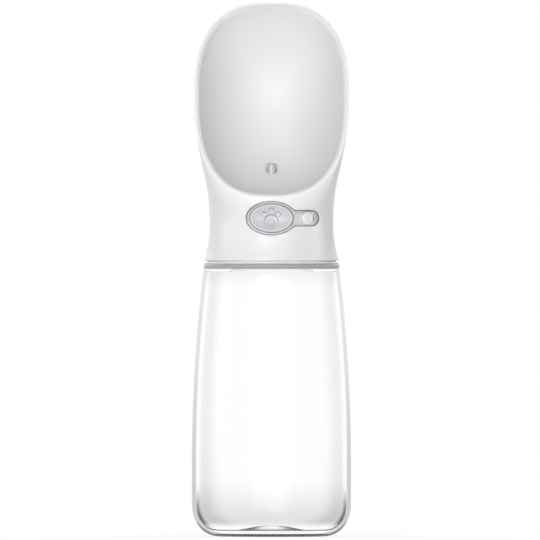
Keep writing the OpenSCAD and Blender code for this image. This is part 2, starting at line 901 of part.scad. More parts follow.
module valve_housing() {
    channel_h = 1.6;
    nose_floor_t = 1;
    channel_z = chamber_top_z - channel_h;
    guide_half_w = arm_half_w + guide_wall;
    slot_half_w = arm_half_w + run_gap;
    color("powderblue")
        difference() {
            union() {
                rotate_extrude()
                    polygon([
                        [chamber_r, housing_z],
                        [housing_flange_r, housing_z],
                        [housing_flange_r, housing_z + housing_flange_t],
                        [housing_r, housing_z + housing_flange_t],
                        [housing_r, housing_top_z],
                        [boss_r, housing_top_z],
                        [boss_r, housing_top_z + boss_h],
                        [o_ring_seat_r, housing_top_z + boss_h],
                        [o_ring_seat_r, o_ring_z],
                        [stem_bore_r, o_ring_z],
                        [stem_bore_r, chamber_top_z],
                        [chamber_r, chamber_top_z]
                    ]);
                at_housing_screws(housing_z)
                    cylinder(r = ear_r, h = housing_flange_t);
                translate([0, outlet_y, channel_z - nose_floor_t]) {
                    cylinder(r = nose_r, h = nose_floor_t + channel_h + housing_roof_t);
                    cylinder(r = barb_r, h = nose_floor_t + channel_h + housing_roof_t + barb_h);
                }
                translate([-guide_half_w, guide_y - guide_len, housing_top_z - over])
                    cube([2 * guide_half_w, guide_len, arm_z + guide_h - housing_top_z + over]);
            }
            translate([-slot_half_w, guide_y - guide_len - over, arm_z - run_gap])
                cube([2 * slot_half_w, guide_len + 2 * over, run_gap + guide_h + over]);
            translate([-passage_r, outlet_y - nose_r - over, channel_z])
                cube([2 * passage_r, nose_r + over, channel_h]);
            translate([0, outlet_y, channel_z])
                cylinder(r = passage_r, h = channel_h + housing_roof_t + barb_h + over);
            at_housing_screws(housing_z - over)
                cylinder(r = screw_hole_r, h = housing_flange_t + 2 * over);
        }
}

module housing_gasket() {
    color("gainsboro")
        translate([0, 0, deck_top_z])
            difference() {
                union() {
                    cylinder(r = housing_flange_r - soft_margin, h = housing_gasket_t);
                    at_housing_screws(0)
                        cylinder(r = ear_r, h = housing_gasket_t);
                }
                translate([0, 0, -over])
                    cylinder(r = chamber_r + soft_margin, h = housing_gasket_t + 2 * over);
                at_housing_screws(-over)
                    cylinder(r = screw_hole_r, h = housing_gasket_t + 2 * over);
            }
}

module valve_stem() {
    color("white")
        union() {
            translate([0, 0, plug_z - stem_foot_t])
                cylinder(r = stem_foot_r, h = stem_foot_t);
            translate([0, 0, plug_z - stem_foot_t])
                cylinder(r = stem_r, h = cap_disc_z + cap_disc_t - stem_seat_t - plug_z + stem_foot_t);
        }
}

module valve_plug() {
    taper_h = 1;
    taper_w = 1.5;
    color("gainsboro")
        difference() {
            union() {
                translate([0, 0, plug_z + taper_h])
                    cylinder(d = plug_d, h = plug_t - taper_h);
                translate([0, 0, plug_z])
                    cylinder(d1 = plug_d - 2 * taper_w, d2 = plug_d, h = taper_h);
            }
            translate([0, 0, plug_z - over])
                cylinder(r = stem_r + seat_fit, h = plug_t + 2 * over);
        }
}

module stem_cap() {
    cut = 4 * ramp_w;
    ramp_top_z = ramp_mid_z + ramp_half * ramp_slope;
    color("lightsteelblue")
        difference() {
            union() {
                translate([0, 0, cap_disc_z])
                    cylinder(r = cap_disc_r, h = cap_disc_t);
                difference() {
                    translate([-ramp_w / 2, -ramp_half, cap_disc_z + over])
                        cube([ramp_w, 2 * ramp_half, ramp_top_z + over - cap_disc_z]);
                    translate([0, 0, ramp_mid_z])
                        rotate([atan(ramp_slope), 0, 0])
                            translate([-cut / 2, -cut / 2, 0])
                                cube([cut, cut, cut]);
                }
            }
            translate([0, 0, cap_disc_z - over])
                cylinder(r = stem_r + seat_fit, h = cap_disc_t - stem_seat_t + over);
        }
}

module stem_o_ring() {
    color("dimgray")
        translate([0, 0, o_ring_z + o_ring_wire_r])
            rotate_extrude()
                translate([o_ring_r, 0])
                    circle(r = o_ring_wire_r);
}

module valve_spring() {
    sides = 6;
    steps_per_turn = 16;
    steps = round(steps_per_turn * spring_turns);
    wire_r = spring_wire / 2;
    end_gap = 0.02;
    low = housing_top_z + wire_r + end_gap;
    high = cap_disc_z - wire_r - end_gap;
    points = [
        for (j = [0:steps], i = [0:sides - 1])
            let (a = 360 * j / steps_per_turn, b = 360 * i / sides, r = spring_r + wire_r * cos(b))
            [r * cos(a), r * sin(a), low + (high - low) * j / steps + wire_r * sin(b)]
    ];
    color("silver")
        polyhedron(
            points = points,
            faces = concat(
                [for (j = [0:steps - 1]) each band_faces(j + 1, j, sides)],
                [[for (i = [0:sides - 1]) i], [for (i = [sides - 1:-1:0]) steps * sides + i]]
            )
        );
}

module outlet_tube() {
    color("gainsboro")
        translate([0, outlet_y, tube_low_z])
            difference() {
                cylinder(r = tube_r, h = tube_top_z - tube_low_z);
                translate([0, 0, -over])
                    cylinder(r = tube_in_r, h = tube_top_z - tube_low_z + 2 * over);
            }
}

module outlet_nozzle() {
    color("lightgray")
        translate([0, outlet_y, tube_top_z])
            difference() {
                union() {
                    translate([0, 0, -barb_h])
                        cylinder(r = barb_r, h = barb_h + nozzle_collar_t);
                    cylinder(r = tube_r, h = nozzle_collar_t);
                    cylinder(r = nozzle_r, h = nozzle_len + nozzle_lip);
                }
                translate([0, 0, -barb_h - over])
                    cylinder(r = passage_r, h = barb_h + nozzle_len + nozzle_lip + 2 * over);
            }
}

bottle();
seal_ring();
neck_gasket();
inner_cap();
head_shell();
bowl();
control_plate();
control_plate_screws();
button_cap();
button_carriage();
lock_knob();
lock_latch();
valve_housing();
housing_gasket();
housing_screws();
valve_stem();
valve_plug();
stem_cap();
stem_o_ring();
valve_spring();
outlet_tube();
outlet_nozzle();
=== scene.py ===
import math

import bmesh
import bpy
from bpy.props import FloatProperty, FloatVectorProperty, PointerProperty
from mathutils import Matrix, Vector
from mathutils.bvhtree import BVHTree


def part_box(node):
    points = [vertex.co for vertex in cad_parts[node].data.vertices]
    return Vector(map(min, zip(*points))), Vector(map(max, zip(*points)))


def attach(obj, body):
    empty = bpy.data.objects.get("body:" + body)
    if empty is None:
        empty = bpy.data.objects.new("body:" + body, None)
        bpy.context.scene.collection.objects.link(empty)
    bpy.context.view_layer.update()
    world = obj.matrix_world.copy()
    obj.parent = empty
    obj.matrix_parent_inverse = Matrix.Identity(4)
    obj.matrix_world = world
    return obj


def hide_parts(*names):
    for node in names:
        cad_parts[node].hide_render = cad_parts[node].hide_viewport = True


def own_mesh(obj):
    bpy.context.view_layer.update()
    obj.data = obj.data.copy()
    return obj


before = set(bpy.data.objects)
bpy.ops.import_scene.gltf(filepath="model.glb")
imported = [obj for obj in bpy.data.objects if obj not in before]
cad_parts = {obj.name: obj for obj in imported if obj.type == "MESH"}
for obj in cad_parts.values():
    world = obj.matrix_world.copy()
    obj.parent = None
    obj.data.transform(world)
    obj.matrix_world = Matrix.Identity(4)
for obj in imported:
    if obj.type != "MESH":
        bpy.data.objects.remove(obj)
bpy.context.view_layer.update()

bl_info = {
    "name": "Dog travel water bottle",
    "version": (1, 0, 0),
    "blender": (4, 5, 0),
    "location": "View3D > Sidebar > Bottle",
    "description": "Clear bottle under a white head with a slanted drinking bowl and a push-button valve",
    "category": "Object",
}

BOTTLE_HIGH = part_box("bottle")[1]
RING_LOW, RING_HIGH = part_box("seal_ring")
SHELL_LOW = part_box("head_shell")[0]
SPRING_LOW, SPRING_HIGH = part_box("valve_spring")
NOZZLE_LOW, NOZZLE_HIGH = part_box("outlet_nozzle")
MM = 0.001

# Kinds of node that are used often, and the setting that a row of chain() gives for each
MATH, VECTOR, RANGE = "ShaderNodeMath", "ShaderNodeVectorMath", "ShaderNodeMapRange"
SWITCH = "GeometryNodeSwitch"
MODES = {MATH: "operation", VECTOR: "operation", RANGE: "interpolation_type", SWITCH: "input_type"}
NOISE, MIX, BUMP = "ShaderNodeTexNoise", "ShaderNodeMix", "ShaderNodeBump"
PRINCIPLED = "ShaderNodeBsdfPrincipled"
SOFT = "SMOOTHSTEP"


def srgb(code):
    """The linear colour of an sRGB hex code such as F4F4F4."""
    parts = [int(code[i:i + 2], 16) / 255 for i in (0, 2, 4)]
    return tuple(c / 12.92 if c <= 0.04045 else ((c + 0.055) / 1.055) ** 2.4 for c in parts)


def length(name, description, default):
    """A size in metres that a user can change."""
    return FloatProperty(name=name, description=description, default=default, min=0, precision=5,
                         unit="LENGTH")


def number(name, description, default, low=0, high=100):
    """A plain number that a user can change."""
    return FloatProperty(name=name, description=description, default=default, min=low, max=high)


def tint(name, description, code):
    """A colour that a user can change, given as sRGB hex."""
    return FloatVectorProperty(name=name, description=description, default=srgb(code), size=3, min=0,
                               max=1, subtype="COLOR")


class BottleSizes(bpy.types.PropertyGroup):
    """Sizes of the clear bottle and the grey ring."""
    mouth_height: length("Mouth height", "Height of the bottle's mouth", BOTTLE_HIGH.z)
    shoulder_height: length("Shoulder height", "Height of the shoulder under the ring", RING_LOW.z)
    ring_top: length("Ring top", "Height of the grey ring's upper face", RING_HIGH.z)
    ring_round: length("Ring rounding", "Rounding of the ring's outer edge", 0.7 * MM)
    ring_bore: length("Ring bore", "Inner radius of the grey ring", 23.1 * MM)
    widest_radius: length("Widest radius", "Radius of the bottle at its widest place", BOTTLE_HIGH.x)
    widest_height: length("Widest height", "Height of the widest place", 31.7 * MM)
    shoulder_radius: length("Shoulder radius", "Radius of the shoulder", 28.2 * MM)
    wall: length("Wall", "Wall of the bottle", 1.8 * MM)
    floor: length("Floor", "Thickness of the floor over the foot", 2.4 * MM)
    foot_radius: length("Foot radius", "Outer radius of the flat foot", 22 * MM)
    foot_width: length("Foot width", "Width of the flat foot ring", 4 * MM)
    foot_rise: length("Foot rise", "Height of the round between the foot and the side", 13 * MM)
    dome_rise: length("Dome rise", "Rise of the dome under the base", 3.4 * MM)
    dome_floor: length("Dome floor", "Thickness of the floor at the middle of the dome", 1.3 * MM)
    neck_radius: length("Neck radius", "Outer radius of the neck", 19 * MM)
    neck_wall: length("Neck wall", "Wall of the neck", 2 * MM)
    thread_lead: length("Thread lead", "Rise of the thread in one turn", 6 * MM)
    thread_depth: length("Thread depth", "Height of the thread ridge", 1.4 * MM)
    thread_start: length("Thread start", "Height of the thread's start over the shoulder", 1.2 * MM)


class HeadSizes(bpy.types.PropertyGroup):
    """Sizes of the white head shell and the drinking bowl."""
    collar_height: length("Collar height", "Height of the shell's lower edge", SHELL_LOW.z)
    collar_radius: length("Collar radius", "Radius of the shell's lower edge", 28 * MM)
    waist_height: length("Waist height", "Height of the waist", 129.5 * MM)
    waist_radius: length("Waist radius", "Radius of the waist", 25.7 * MM)
    shell_wall: length("Shell wall", "Wall of the shell", 2 * MM)
    rim_edge: length("Rim edge", "Width of the shell's edge round the bowl", 1.1 * MM)
    edge_round: length("Edge rounding", "Rounding of the shell's edge", 0.2 * MM)
    lip_height: length("Lip height", "Height of the front lip", 140.5 * MM)
    lip_reach: length("Lip reach", "How far forward of the axis the front lip lies", 26.2 * MM)
    top_height: length("Top height", "Height of the top of the rim", 222 * MM)
    top_reach: length("Top reach", "How far behind the axis the top of the rim lies", 14 * MM)
    rim_half_width: length("Rim half width", "Half width of the rim", 32.2 * MM)
    rim_widest: number("Rim widest", "Share of the rim's rise where it is widest", 0.529, 0.3, 0.7)
    squareness: number("Squareness", "Squareness of the rim outline, 2 is an ellipse", 2.6, 2, 4)
    bowl_depth: length("Bowl depth", "Depth of the bowl, square to its rim", 32 * MM)
    bowl_wall: length("Bowl wall", "Wall of the bowl", 1.6 * MM)
    bowl_band: length("Bowl band", "Width of the bowl's own rim band", 1.1 * MM)
    bowl_sink: length("Bowl sink", "How far the band's outer edge lies below the shell's edge", 0.1 * MM)
    band_slope: length("Band slope", "How far the band falls towards the bowl", 0.5 * MM)
    bowl_lap: length("Bowl lap", "How far the bowl's rim reaches under the shell's edge", 0.1 * MM)
    fullness: number("Fullness", "How fully the bowl fills out, 0.5 is an ellipsoid", 0.7, 0.5, 1)
    back_room: length("Back room", "Depth of the bowl that the lean of the shell makes room for", 18.93 * MM)


class ControlSizes(bpy.types.PropertyGroup):
    """Sizes of the recess, the button with its paw and the lock knob."""
    height: length("Button height", "Height of the button's centre", 132.3 * MM)
    button_width: length("Button width", "Width of the button", 17.9 * MM)
    button_tall: length("Button tall", "Height of the button's face", 11.8 * MM)
    button_reach: length("Button reach", "How far the button stands out from the axis", 26.1 * MM)
    button_edge: length("Button edge", "Rounding of the button's outer edge", 0.6 * MM)
    button_dish: length("Button dish", "Depth of the dished face", 0.5 * MM)
    button_hollow: length("Button hollow", "How much deeper the middle of the dished face lies", 1.1 * MM)
    paw_depth: length("Paw depth", "Depth of the moulded paw", 0.6 * MM)
    recess_width: length("Recess width", "Width of the oval recess", 21.4 * MM)
    recess_tall: length("Recess tall", "Height of the oval recess", 14 * MM)
    slot_half: length("Slot half height", "Half height of the recess round the knob", 3.35 * MM)
    knob_angle: FloatProperty(name="Knob angle", description="Angle of the knob round from the front",
                              default=math.radians(36), subtype="ANGLE")
    knob_diameter: length("Knob diameter", "Diameter of the lock knob", 5.6 * MM)
    knob_height: length("Knob height", "Height of the knob over the recess", 1.6 * MM)
    knob_travel: length("Knob travel", "Travel of the lock knob", 2.4 * MM)


class ValveSizes(bpy.types.PropertyGroup):
    """Sizes of the return spring and the places of the screws."""
    spring_radius: length("Spring radius", "Mean radius of the return spring", 5 * MM)
    spring_wire: length("Spring wire", "Diameter of the spring's wire", 0.8 * MM)
    spring_turns: number("Spring turns", "Turns of the return spring", 3, 1, 8)
    screw_radius: length("Screw radius", "Radius of a screw's shank", 1.1 * MM)
    screw_head: length("Screw head", "Radius of a screw's pan head", 2 * MM)
    screw_head_height: length("Screw head height", "Height of a screw's pan head", 1.4 * MM)
    nozzle_radius: length("Nozzle radius", "Outer radius of the outlet nozzle", 2.1 * MM)


class Finishes(bpy.types.PropertyGroup):
    """Colours and gloss of the finishes."""
    clear: tint("Clear copolyester", "Colour of the clear bottle", "FFFFFF")
    shell: tint("Shell ABS", "Colour of the glossy white shell", "F2F1F3")
    bowl: tint("Bowl polypropylene", "Colour of the satin bowl", "EDECEE")
    cap: tint("Cap polypropylene", "Colour of the threaded cap", "FBFBFA")
    ring: tint("Ring silicone", "Colour of the grey ring", "AEADAD")
    land: tint("Control plate ABS", "Colour of the recess floor", "E9E9EA")
    # Painted shade: the nozzle is white plastic, coloured pale grey for the shade it sits in
    nozzle: tint("Nozzle ABS", "Colour of the outlet nozzle", "BFBEC2")
    button: tint("Button ABS", "Colour of the button", "D4D4D8")
    knob: tint("Knob ABS", "Colour of the lock knob", "F2F2F3")
    moving: tint("Acetal", "Colour of the valve's moving parts", "D9DCDE")
    seal: tint("Seal silicone", "Colour of the gaskets and the tube", "C9CACA")
    steel: tint("Stainless steel", "Colour of the spring and the screws", "B9B8B5")
    shell_gloss: number("Shell roughness", "Roughness of the glossy shell", 0.32, 0, 1)
    bowl_gloss: number("Bowl roughness", "Roughness of the satin bowl", 0.42, 0, 1)


class StageSettings(bpy.types.PropertyGroup):
    """Camera, lamps and background."""
    lens: number("Lens", "Focal length of the camera in millimetres", 1600, 50, 1700)
    picture_width: length("Picture width", "Width of the picture at the bottle", 224.64 * MM)
    eye_height: length("Eye height", "Height of the camera", 110.78 * MM)
    eye_left: length("Eye left", "How far left of the bottle's axis the camera stands", 0.62 * MM)
    key_power: number("Front lamp", "Power of the lamp in front, in watts", 6.2)
    fill_power: number("Fill lamp", "Power of the lamp on the right, in watts", 1.7)
    side_power: number("Side lamp", "Power of the lamp beside the left, in watts", 1.4)
    high_power: number("High lamp", "Power of the small lamp up on the left, in watts", 1.0)
    back_power: number("Back lamps", "Power of each lamp behind, in watts", 4.2)
    ambient: number("Ambient", "Brightness of the surroundings as a light", 0.23)
    strip_card: number("Strip card", "Brightness of the bright strip on the right", 3.0)


def add(tree, kind, inputs=(), **settings):
    """Adds a node with its settings. The inputs are a dict by socket, or a row of values in the order of the
    sockets in use. A socket or a node among them is linked, a node by its first output in use."""
    node = tree.nodes.new(kind)
    for key, value in settings.items():
        setattr(node, key, value)
    if isinstance(inputs, dict):
        pairs = [(node.inputs[key], value) for key, value in inputs.items()]
    else:
        pairs = zip([plug for plug in node.inputs if plug.enabled], inputs)
    for plug, value in pairs:
        if isinstance(value, bpy.types.Node):
            value = next(output for output in value.outputs if output.enabled)
        if isinstance(value, bpy.types.NodeSocket):
            tree.links.new(value, plug)
        else:
            plug.default_value = value
    return node


def chain(tree, known, rows):
    """Adds a node for each row of name, kind, mode and inputs, and keeps it in known under its name. An input
    that is text names an earlier result."""
    for name, kind, mode, *inputs in rows:
        inputs = [known[value] if isinstance(value, str) else value for value in inputs]
        known[name] = add(tree, kind, inputs, **{MODES[kind]: mode})


def bend(value, power):
    """Signed power, which turns an ellipse into a squarer outline."""
    return math.copysign(abs(value) ** power, value)


def loft(rings, first=None, last=None, around=True):
    """A mesh through rings of points. first and last are pole points, "fill" for a flat end, or None.
    With first "loop" the last ring joins the first."""
    mesh = bmesh.new()
    rows = [[mesh.verts.new(p) for p in ring] for ring in rings]
    count = len(rows[0])
    pairs = list(zip(rows, rows[1:])) + ([(rows[-1], rows[0])] if first == "loop" else [])
    for low, high in pairs:
        for i in range(count if around else count - 1):
            j = (i + 1) % count
            mesh.faces.new((low[i], low[j], high[j], high[i]))
    for end, row in ((first, rows[0]), (last, rows[-1])):
        if end == "fill":
            mesh.faces.new(row)
        elif end is not None and end != "loop":
            pole = mesh.verts.new(end)
            for i in range(count):
                mesh.faces.new((row[i], row[(i + 1) % count], pole))
    bmesh.ops.recalc_face_normals(mesh, faces=mesh.faces)
    return mesh


def turns(steps):
    """Even angles round a full turn."""
    return [2 * math.pi * i / steps for i in range(steps)]


def lathe(profile, steps, first=None, last=None):
    """A turned form round Z from (radius, height) points."""
    rings = [[(r * math.cos(a), r * math.sin(a), z) for a in turns(steps)] for r, z in profile]
    return loft(rings, first, last)


def rounded(corners, steps=4):
    """A line of (radius, height, rounding) corners, with an arc in place of each rounded corner."""
    line = []
    count = len(corners)
    for i, (r, z, size) in enumerate(corners):
        here = Vector((r, z))
        if size <= 0 or i in (0, count - 1):
            line.append((r, z))
            continue
        before = Vector(corners[i - 1][:2]) - here
        after = Vector(corners[i + 1][:2]) - here
        half = before.angle(after) / 2
        cut = min(size / math.tan(half), 0.49 * before.length, 0.49 * after.length)
        start, end = here + before.normalized() * cut, here + after.normalized() * cut
        for k in range(steps + 1):
            t = k / steps
            point = start * (1 - t) ** 2 + here * (2 * t * (1 - t)) + end * t * t
            line.append((point.x, point.y))
    return line


def to_object(context, mesh, name):
    """Turns a bmesh or a mesh into a linked object at the origin."""
    if isinstance(mesh, bmesh.types.BMesh):
        data = bpy.data.meshes.new(name)
        mesh.to_mesh(data)
        mesh.free()
    else:
        data = mesh
    data.name = name
    piece = bpy.data.objects.new(name, data)
    context.collection.objects.link(piece)
    return piece


def settle(context, piece):
    """Applies the object's modifiers, which leaves it a plain mesh."""
    context.view_layer.update()
    ready = piece.evaluated_get(context.evaluated_depsgraph_get())
    data = bpy.data.meshes.new_from_object(ready)
    piece.modifiers.clear()
    old, piece.data = piece.data, data
    bpy.data.meshes.remove(old)
    data.name = piece.name


def discard(piece):
    """Removes an object that has done its work."""
    used = piece.data
    bpy.data.objects.remove(piece)
    bpy.data.meshes.remove(used)


def finish(context, piece, body, node, material, angle):
    """Smooths the faces up to an angle, gives the piece to its body, and puts it in its node's place."""
    if piece.modifiers:
        settle(context, piece)
    data = piece.data
    if not data.polygons:
        raise RuntimeError(f"{piece.name} came out empty")
    data.polygons.foreach_set("use_smooth", [True] * len(data.polygons))
    data.set_sharp_from_angle(angle=math.radians(angle))
    data.materials.clear()
    data.materials.append(material)
    data.update()
    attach(piece, body)
    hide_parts(node)


def carve(context, piece, cutter):
    """Cuts one closed form out of another and removes the cutter."""
    step = piece.modifiers.new("Carve", "BOOLEAN")
    step.operation, step.solver, step.object = "DIFFERENCE", "EXACT", cutter
    settle(context, piece)
    discard(cutter)


def refined(context, node, name):
    """A merged copy of a CAD node's mesh, so that its curved faces can shade smoothly."""
    mesh = bmesh.new()
    mesh.from_mesh(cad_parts[node].data)
    bmesh.ops.remove_doubles(mesh, verts=mesh.verts, dist=0.002 * MM)
    return to_object(context, mesh, name)


def node_mesh(context, name, tree, values):
    """Runs a Geometry Nodes tree on an empty object and returns the plain mesh object."""
    piece = to_object(context, bpy.data.meshes.new(name), name)
    step = piece.modifiers.new("Form", "NODES")
    step.node_group = tree
    for item in tree.interface.items_tree:
        if item.in_out == "INPUT":
            step[item.identifier] = values[item.name]
    settle(context, piece)
    return piece


def new_tree(name, **inputs):
    """A Geometry Nodes tree with one geometry output, and its inputs, whose names are listed by kind."""
    tree = bpy.data.node_groups.new(name, "GeometryNodeTree")
    for kind, labels in inputs.items():
        for label in labels.split(", "):
            tree.interface.new_socket(label, in_out="INPUT", socket_type="NodeSocket" + kind)
    tree.interface.new_socket("Mesh", in_out="OUTPUT", socket_type="NodeSocketGeometry")
    return tree, tree.nodes.new("NodeGroupInput").outputs


def end_tree(tree, shape, material):
    """Ends a Geometry Nodes tree in a plain mesh with its material."""
    whole = add(tree, "GeometryNodeRealizeInstances", (shape,))
    dressed = add(tree, "GeometryNodeSetMaterial", {"Geometry": whole, "Material": material})
    add(tree, "NodeGroupOutput", (dressed,))


def new_material(name):
    """A node material with an empty tree."""
    material = bpy.data.materials.get(name) or bpy.data.materials.new(name)
    material.use_nodes = True
    material.node_tree.nodes.clear()
    return material, material.node_tree


def toned(colour, share=1.0):
    """The colour times a share, at most white, with its alpha."""
    return (*(min(1.0, part * share) for part in colour), 1.0)


def seen_straight(tree):
    """1 for a ray from the camera, from a gloss or through a clear wall, and 0 for light on the object."""
    known = dict(add(tree, "ShaderNodeLightPath").outputs.items())
    chain(tree, known, (
        ("seen", MATH, "MAXIMUM", "Is Camera Ray", "Is Glossy Ray"),
        ("seen", MATH, "MAXIMUM", "seen", "Is Transmission Ray")))
    return known["seen"]


def moulded(name, colour, roughness, ior, grain, depth, spread=0.05, painted_light_factor=1.0):
    """Injection-moulded plastic. The eye sees an even colour whose gloss breaks up softly, because the tool's
    polish or spark texture leaves a skin of fine waves: grain is their spacing and depth their height, in
    metres, and spread is how far the roughness swings. Faces that the attribute band marks get painted light:
    their colour times the last argument, painted shade below 1 and a painted highlight above 1."""
    material, tree = new_material(name)
    place = add(tree, "ShaderNodeTexCoord").outputs["Object"]
    # A noise of scale 1 has its waves about half a metre apart
    waves = add(tree, NOISE, {"Vector": place, "Scale": 0.5 / grain, "Detail": 2.0})
    # The melt flowed in clouds about 30 mm wide, which differ in tone by 3 percent
    flow = add(tree, NOISE, {"Vector": place, "Scale": 32.0, "Detail": 1.0})
    blend = add(tree, MIX, (flow, toned(colour, 0.97), toned(colour)), data_type="RGBA")
    # Painted light: faces that the attribute band marks get their colour scaled, darker for painted shade,
    # lighter for a painted highlight
    if painted_light_factor != 1:
        band = add(tree, "ShaderNodeAttribute", attribute_name="band").outputs["Fac"]
        blend = add(tree, MIX, (band, blend, toned(colour, painted_light_factor)), data_type="RGBA")
    gloss = add(tree, RANGE, (waves, 0.3, 0.7, max(0.02, roughness - spread), roughness + spread))
    skin = add(tree, BUMP, {"Height": waves, "Strength": 0.6, "Distance": depth})
    shader = add(tree, PRINCIPLED, {"Base Color": blend, "Roughness": gloss, "IOR": ior, "Normal": skin})
    add(tree, "ShaderNodeOutputMaterial", {"Surface": shader})
    return material


def clear_plastic_painted_shade(name, colour, foot, shoulder):
    """Blown copolyester, clear and polished, drawn without refraction. Light passes straight through so thin a
    wall, and each face greys where it turns away, a painted shade in place of refraction, which draws the
    outline twice, outside and inside. Painted shade also greys it more towards the foot and under the shoulder,
    and a painted shadow darkens the ground ring of the foot. foot is the height over which the grey changes, and
    shoulder the height of the shoulder. The attribute inside tells the inner faces."""
    material, tree = new_material(name)
    place = add(tree, "ShaderNodeTexCoord").outputs["Object"]
    face = add(tree, "ShaderNodeNewGeometry").outputs
    radial = add(tree, VECTOR, (place, (1.0, 1.0, 0.0)), operation="MULTIPLY")
    known = {
        "height": add(tree, "ShaderNodeSeparateXYZ", (place,)).outputs["Z"],
        "reach": add(tree, VECTOR, (radial,), operation="LENGTH"),
        "upright": add(tree, "ShaderNodeSeparateXYZ", (face["Normal"],)).outputs["Z"],
        "turned": add(tree, "ShaderNodeLayerWeight", {"Blend": 0.5}).outputs["Facing"],
        "inside": add(tree, "ShaderNodeAttribute", attribute_name="inside").outputs["Fac"],
        "far": face["Backfacing"],
    }
    # Each range is a value, its start and end, and the grey at both
    chain(tree, known, (
        # The normal is turned to the eye on a far face, so how level a face lies goes by its size
        ("level", MATH, "ABSOLUTE", "upright"),
        ("near", MATH, "SUBTRACT", 1.0, "far"),
        # Inner faces: a soft band of painted shade beside the outline
        ("band", RANGE, SOFT, "turned", 0.16, 0.5, 0.0, 1.0),
        ("band end", RANGE, SOFT, "turned", 0.6, 0.76, 1.0, 0.0),
        ("band tone", RANGE, SOFT, "height", 0.1 * foot, 2.4 * foot, 0.12, 0.065),
        ("band", MATH, "MULTIPLY", "band", "band end"),
        ("band", MATH, "MULTIPLY", "band", "band tone"),
        # Painted shade: an even grey over the foot, and another under the shoulder
        ("deep", RANGE, SOFT, "height", 0.24 * foot, 1.25 * foot, 0.13, 0.0),
        ("deep end", RANGE, SOFT, "height", 0.15 * foot, 0.3 * foot, 0.2, 1.0),
        ("deep", MATH, "MULTIPLY", "deep", "deep end"),
        ("neck", RANGE, SOFT, "height", shoulder - 9 * MM, shoulder - 1 * MM, 0.0, 0.05),
        # A line of painted shade that deepens towards the foot
        ("fine", RANGE, SOFT, "turned", 0.62, 0.8, 0.0, 1.0),
        ("fine tone", RANGE, SOFT, "height", 0.3 * foot, 1.1 * foot, 0.55, 0.0),
        ("fine", MATH, "MULTIPLY", "fine", "fine tone"),
        ("wall", MATH, "ADD", "band", "deep"),
        ("neck", MATH, "ADD", "neck", "fine"),
        ("wall", MATH, "ADD", "wall", "neck"),
        # Painted shade: the floor's domed middle gets a dark wave where it turns level with the eye
        ("wave", RANGE, SOFT, "turned", 0.81, 0.9, 0.0, 1.0),
        ("wave tone", RANGE, SOFT, "reach", 4 * MM, 8 * MM, 0.03, 0.7),
        ("wave", MATH, "MULTIPLY", "wave", "wave tone"),
        ("floor", RANGE, SOFT, "level", 0.5, 0.9, 0.0, 1.0),
        # Outer faces: a painted shade outline as wide as the wall, darker towards the foot
        ("wide", RANGE, SOFT, "turned", 0.665, 0.71, 0.0, 1.0),
        ("wide tone", RANGE, SOFT, "height", 0.6 * foot, 4.5 * foot, 0.24, 0.13),
        ("wide", MATH, "MULTIPLY", "wide", "wide tone"),
        ("edge", RANGE, SOFT, "turned", 0.72, 0.88, 0.0, 1.0),
        ("edge low", RANGE, SOFT, "height", 0.15 * foot, 0.4 * foot, 0.8, 0.24),
        ("edge high", RANGE, SOFT, "height", 0.6 * foot, 4.5 * foot, 1.0, 0.3),
        ("edge low", MATH, "MULTIPLY", "edge low", "edge high"),
        ("edge", MATH, "MULTIPLY", "edge", "edge low"),
        # A painted shadow on the ground ring of the foot, on near faces only
        ("ring", RANGE, SOFT, "height", 1.0 * MM, 1.5 * MM, 0.9, 0.0),
        ("ring width", RANGE, SOFT, "reach", 17 * MM, 19 * MM, 0.0, 1.0),
        ("ring", MATH, "MULTIPLY", "ring", "ring width"),
        ("ring", MATH, "MULTIPLY", "ring", "near"),
        ("side", RANGE, SOFT, "level", 0.86, 0.96, 1.0, 0.0),
        ("outer", MATH, "MAXIMUM", "wide", "edge"),
        ("outer", MATH, "MULTIPLY", "outer", "side"),
        ("outer", MATH, "MAXIMUM", "outer", "ring"),
        # The gloss grows where the wall turns away, and is weaker on inner faces
        ("steep", MATH, "POWER", "turned", 5.0),
        ("bounce", RANGE, SOFT, "steep", 0.0, 1.0, 0.014, 0.3),
        ("bounce tone", RANGE, SOFT, "inside", 0.0, 1.0, 1.0, 0.35),
        ("bounce", MATH, "MULTIPLY", "bounce", "bounce tone")))
    inner = add(tree, MIX, (known["floor"], known["wall"], known["wave"]))
    grey = add(tree, MIX, (known["inside"], known["outer"], inner))
    # The painted shade greys the see-through colour
    clear = add(tree, MATH, (1.0, grey), operation="SUBTRACT")
    painted_shade_tint = add(tree, VECTOR, (colour, clear), operation="SCALE")
    through = add(tree, "ShaderNodeBsdfTransparent", {"Color": painted_shade_tint})
    # The gloss waves slightly, because the plastic cooled unevenly in the mould, and has fine scuffs
    swell = add(tree, NOISE, {"Vector": place, "Scale": 45.0, "Detail": 0.0})
    scuff = add(tree, NOISE, {"Vector": place, "Scale": 900.0, "Detail": 3.0})
    skin = add(tree, BUMP, {"Height": swell, "Strength": 0.35, "Distance": 0.05 * MM})
    polish = add(tree, RANGE, (scuff, 0.45, 0.75, 0.2, 0.26), interpolation_type=SOFT)
    gloss = add(tree, "ShaderNodeBsdfAnisotropic", {
        "Color": (1, 1, 1, 1), "Roughness": polish, "Normal": skin})
    both = add(tree, "ShaderNodeMixShader", (known["bounce"], through, gloss))
    add(tree, "ShaderNodeOutputMaterial", {"Surface": both})
    return material


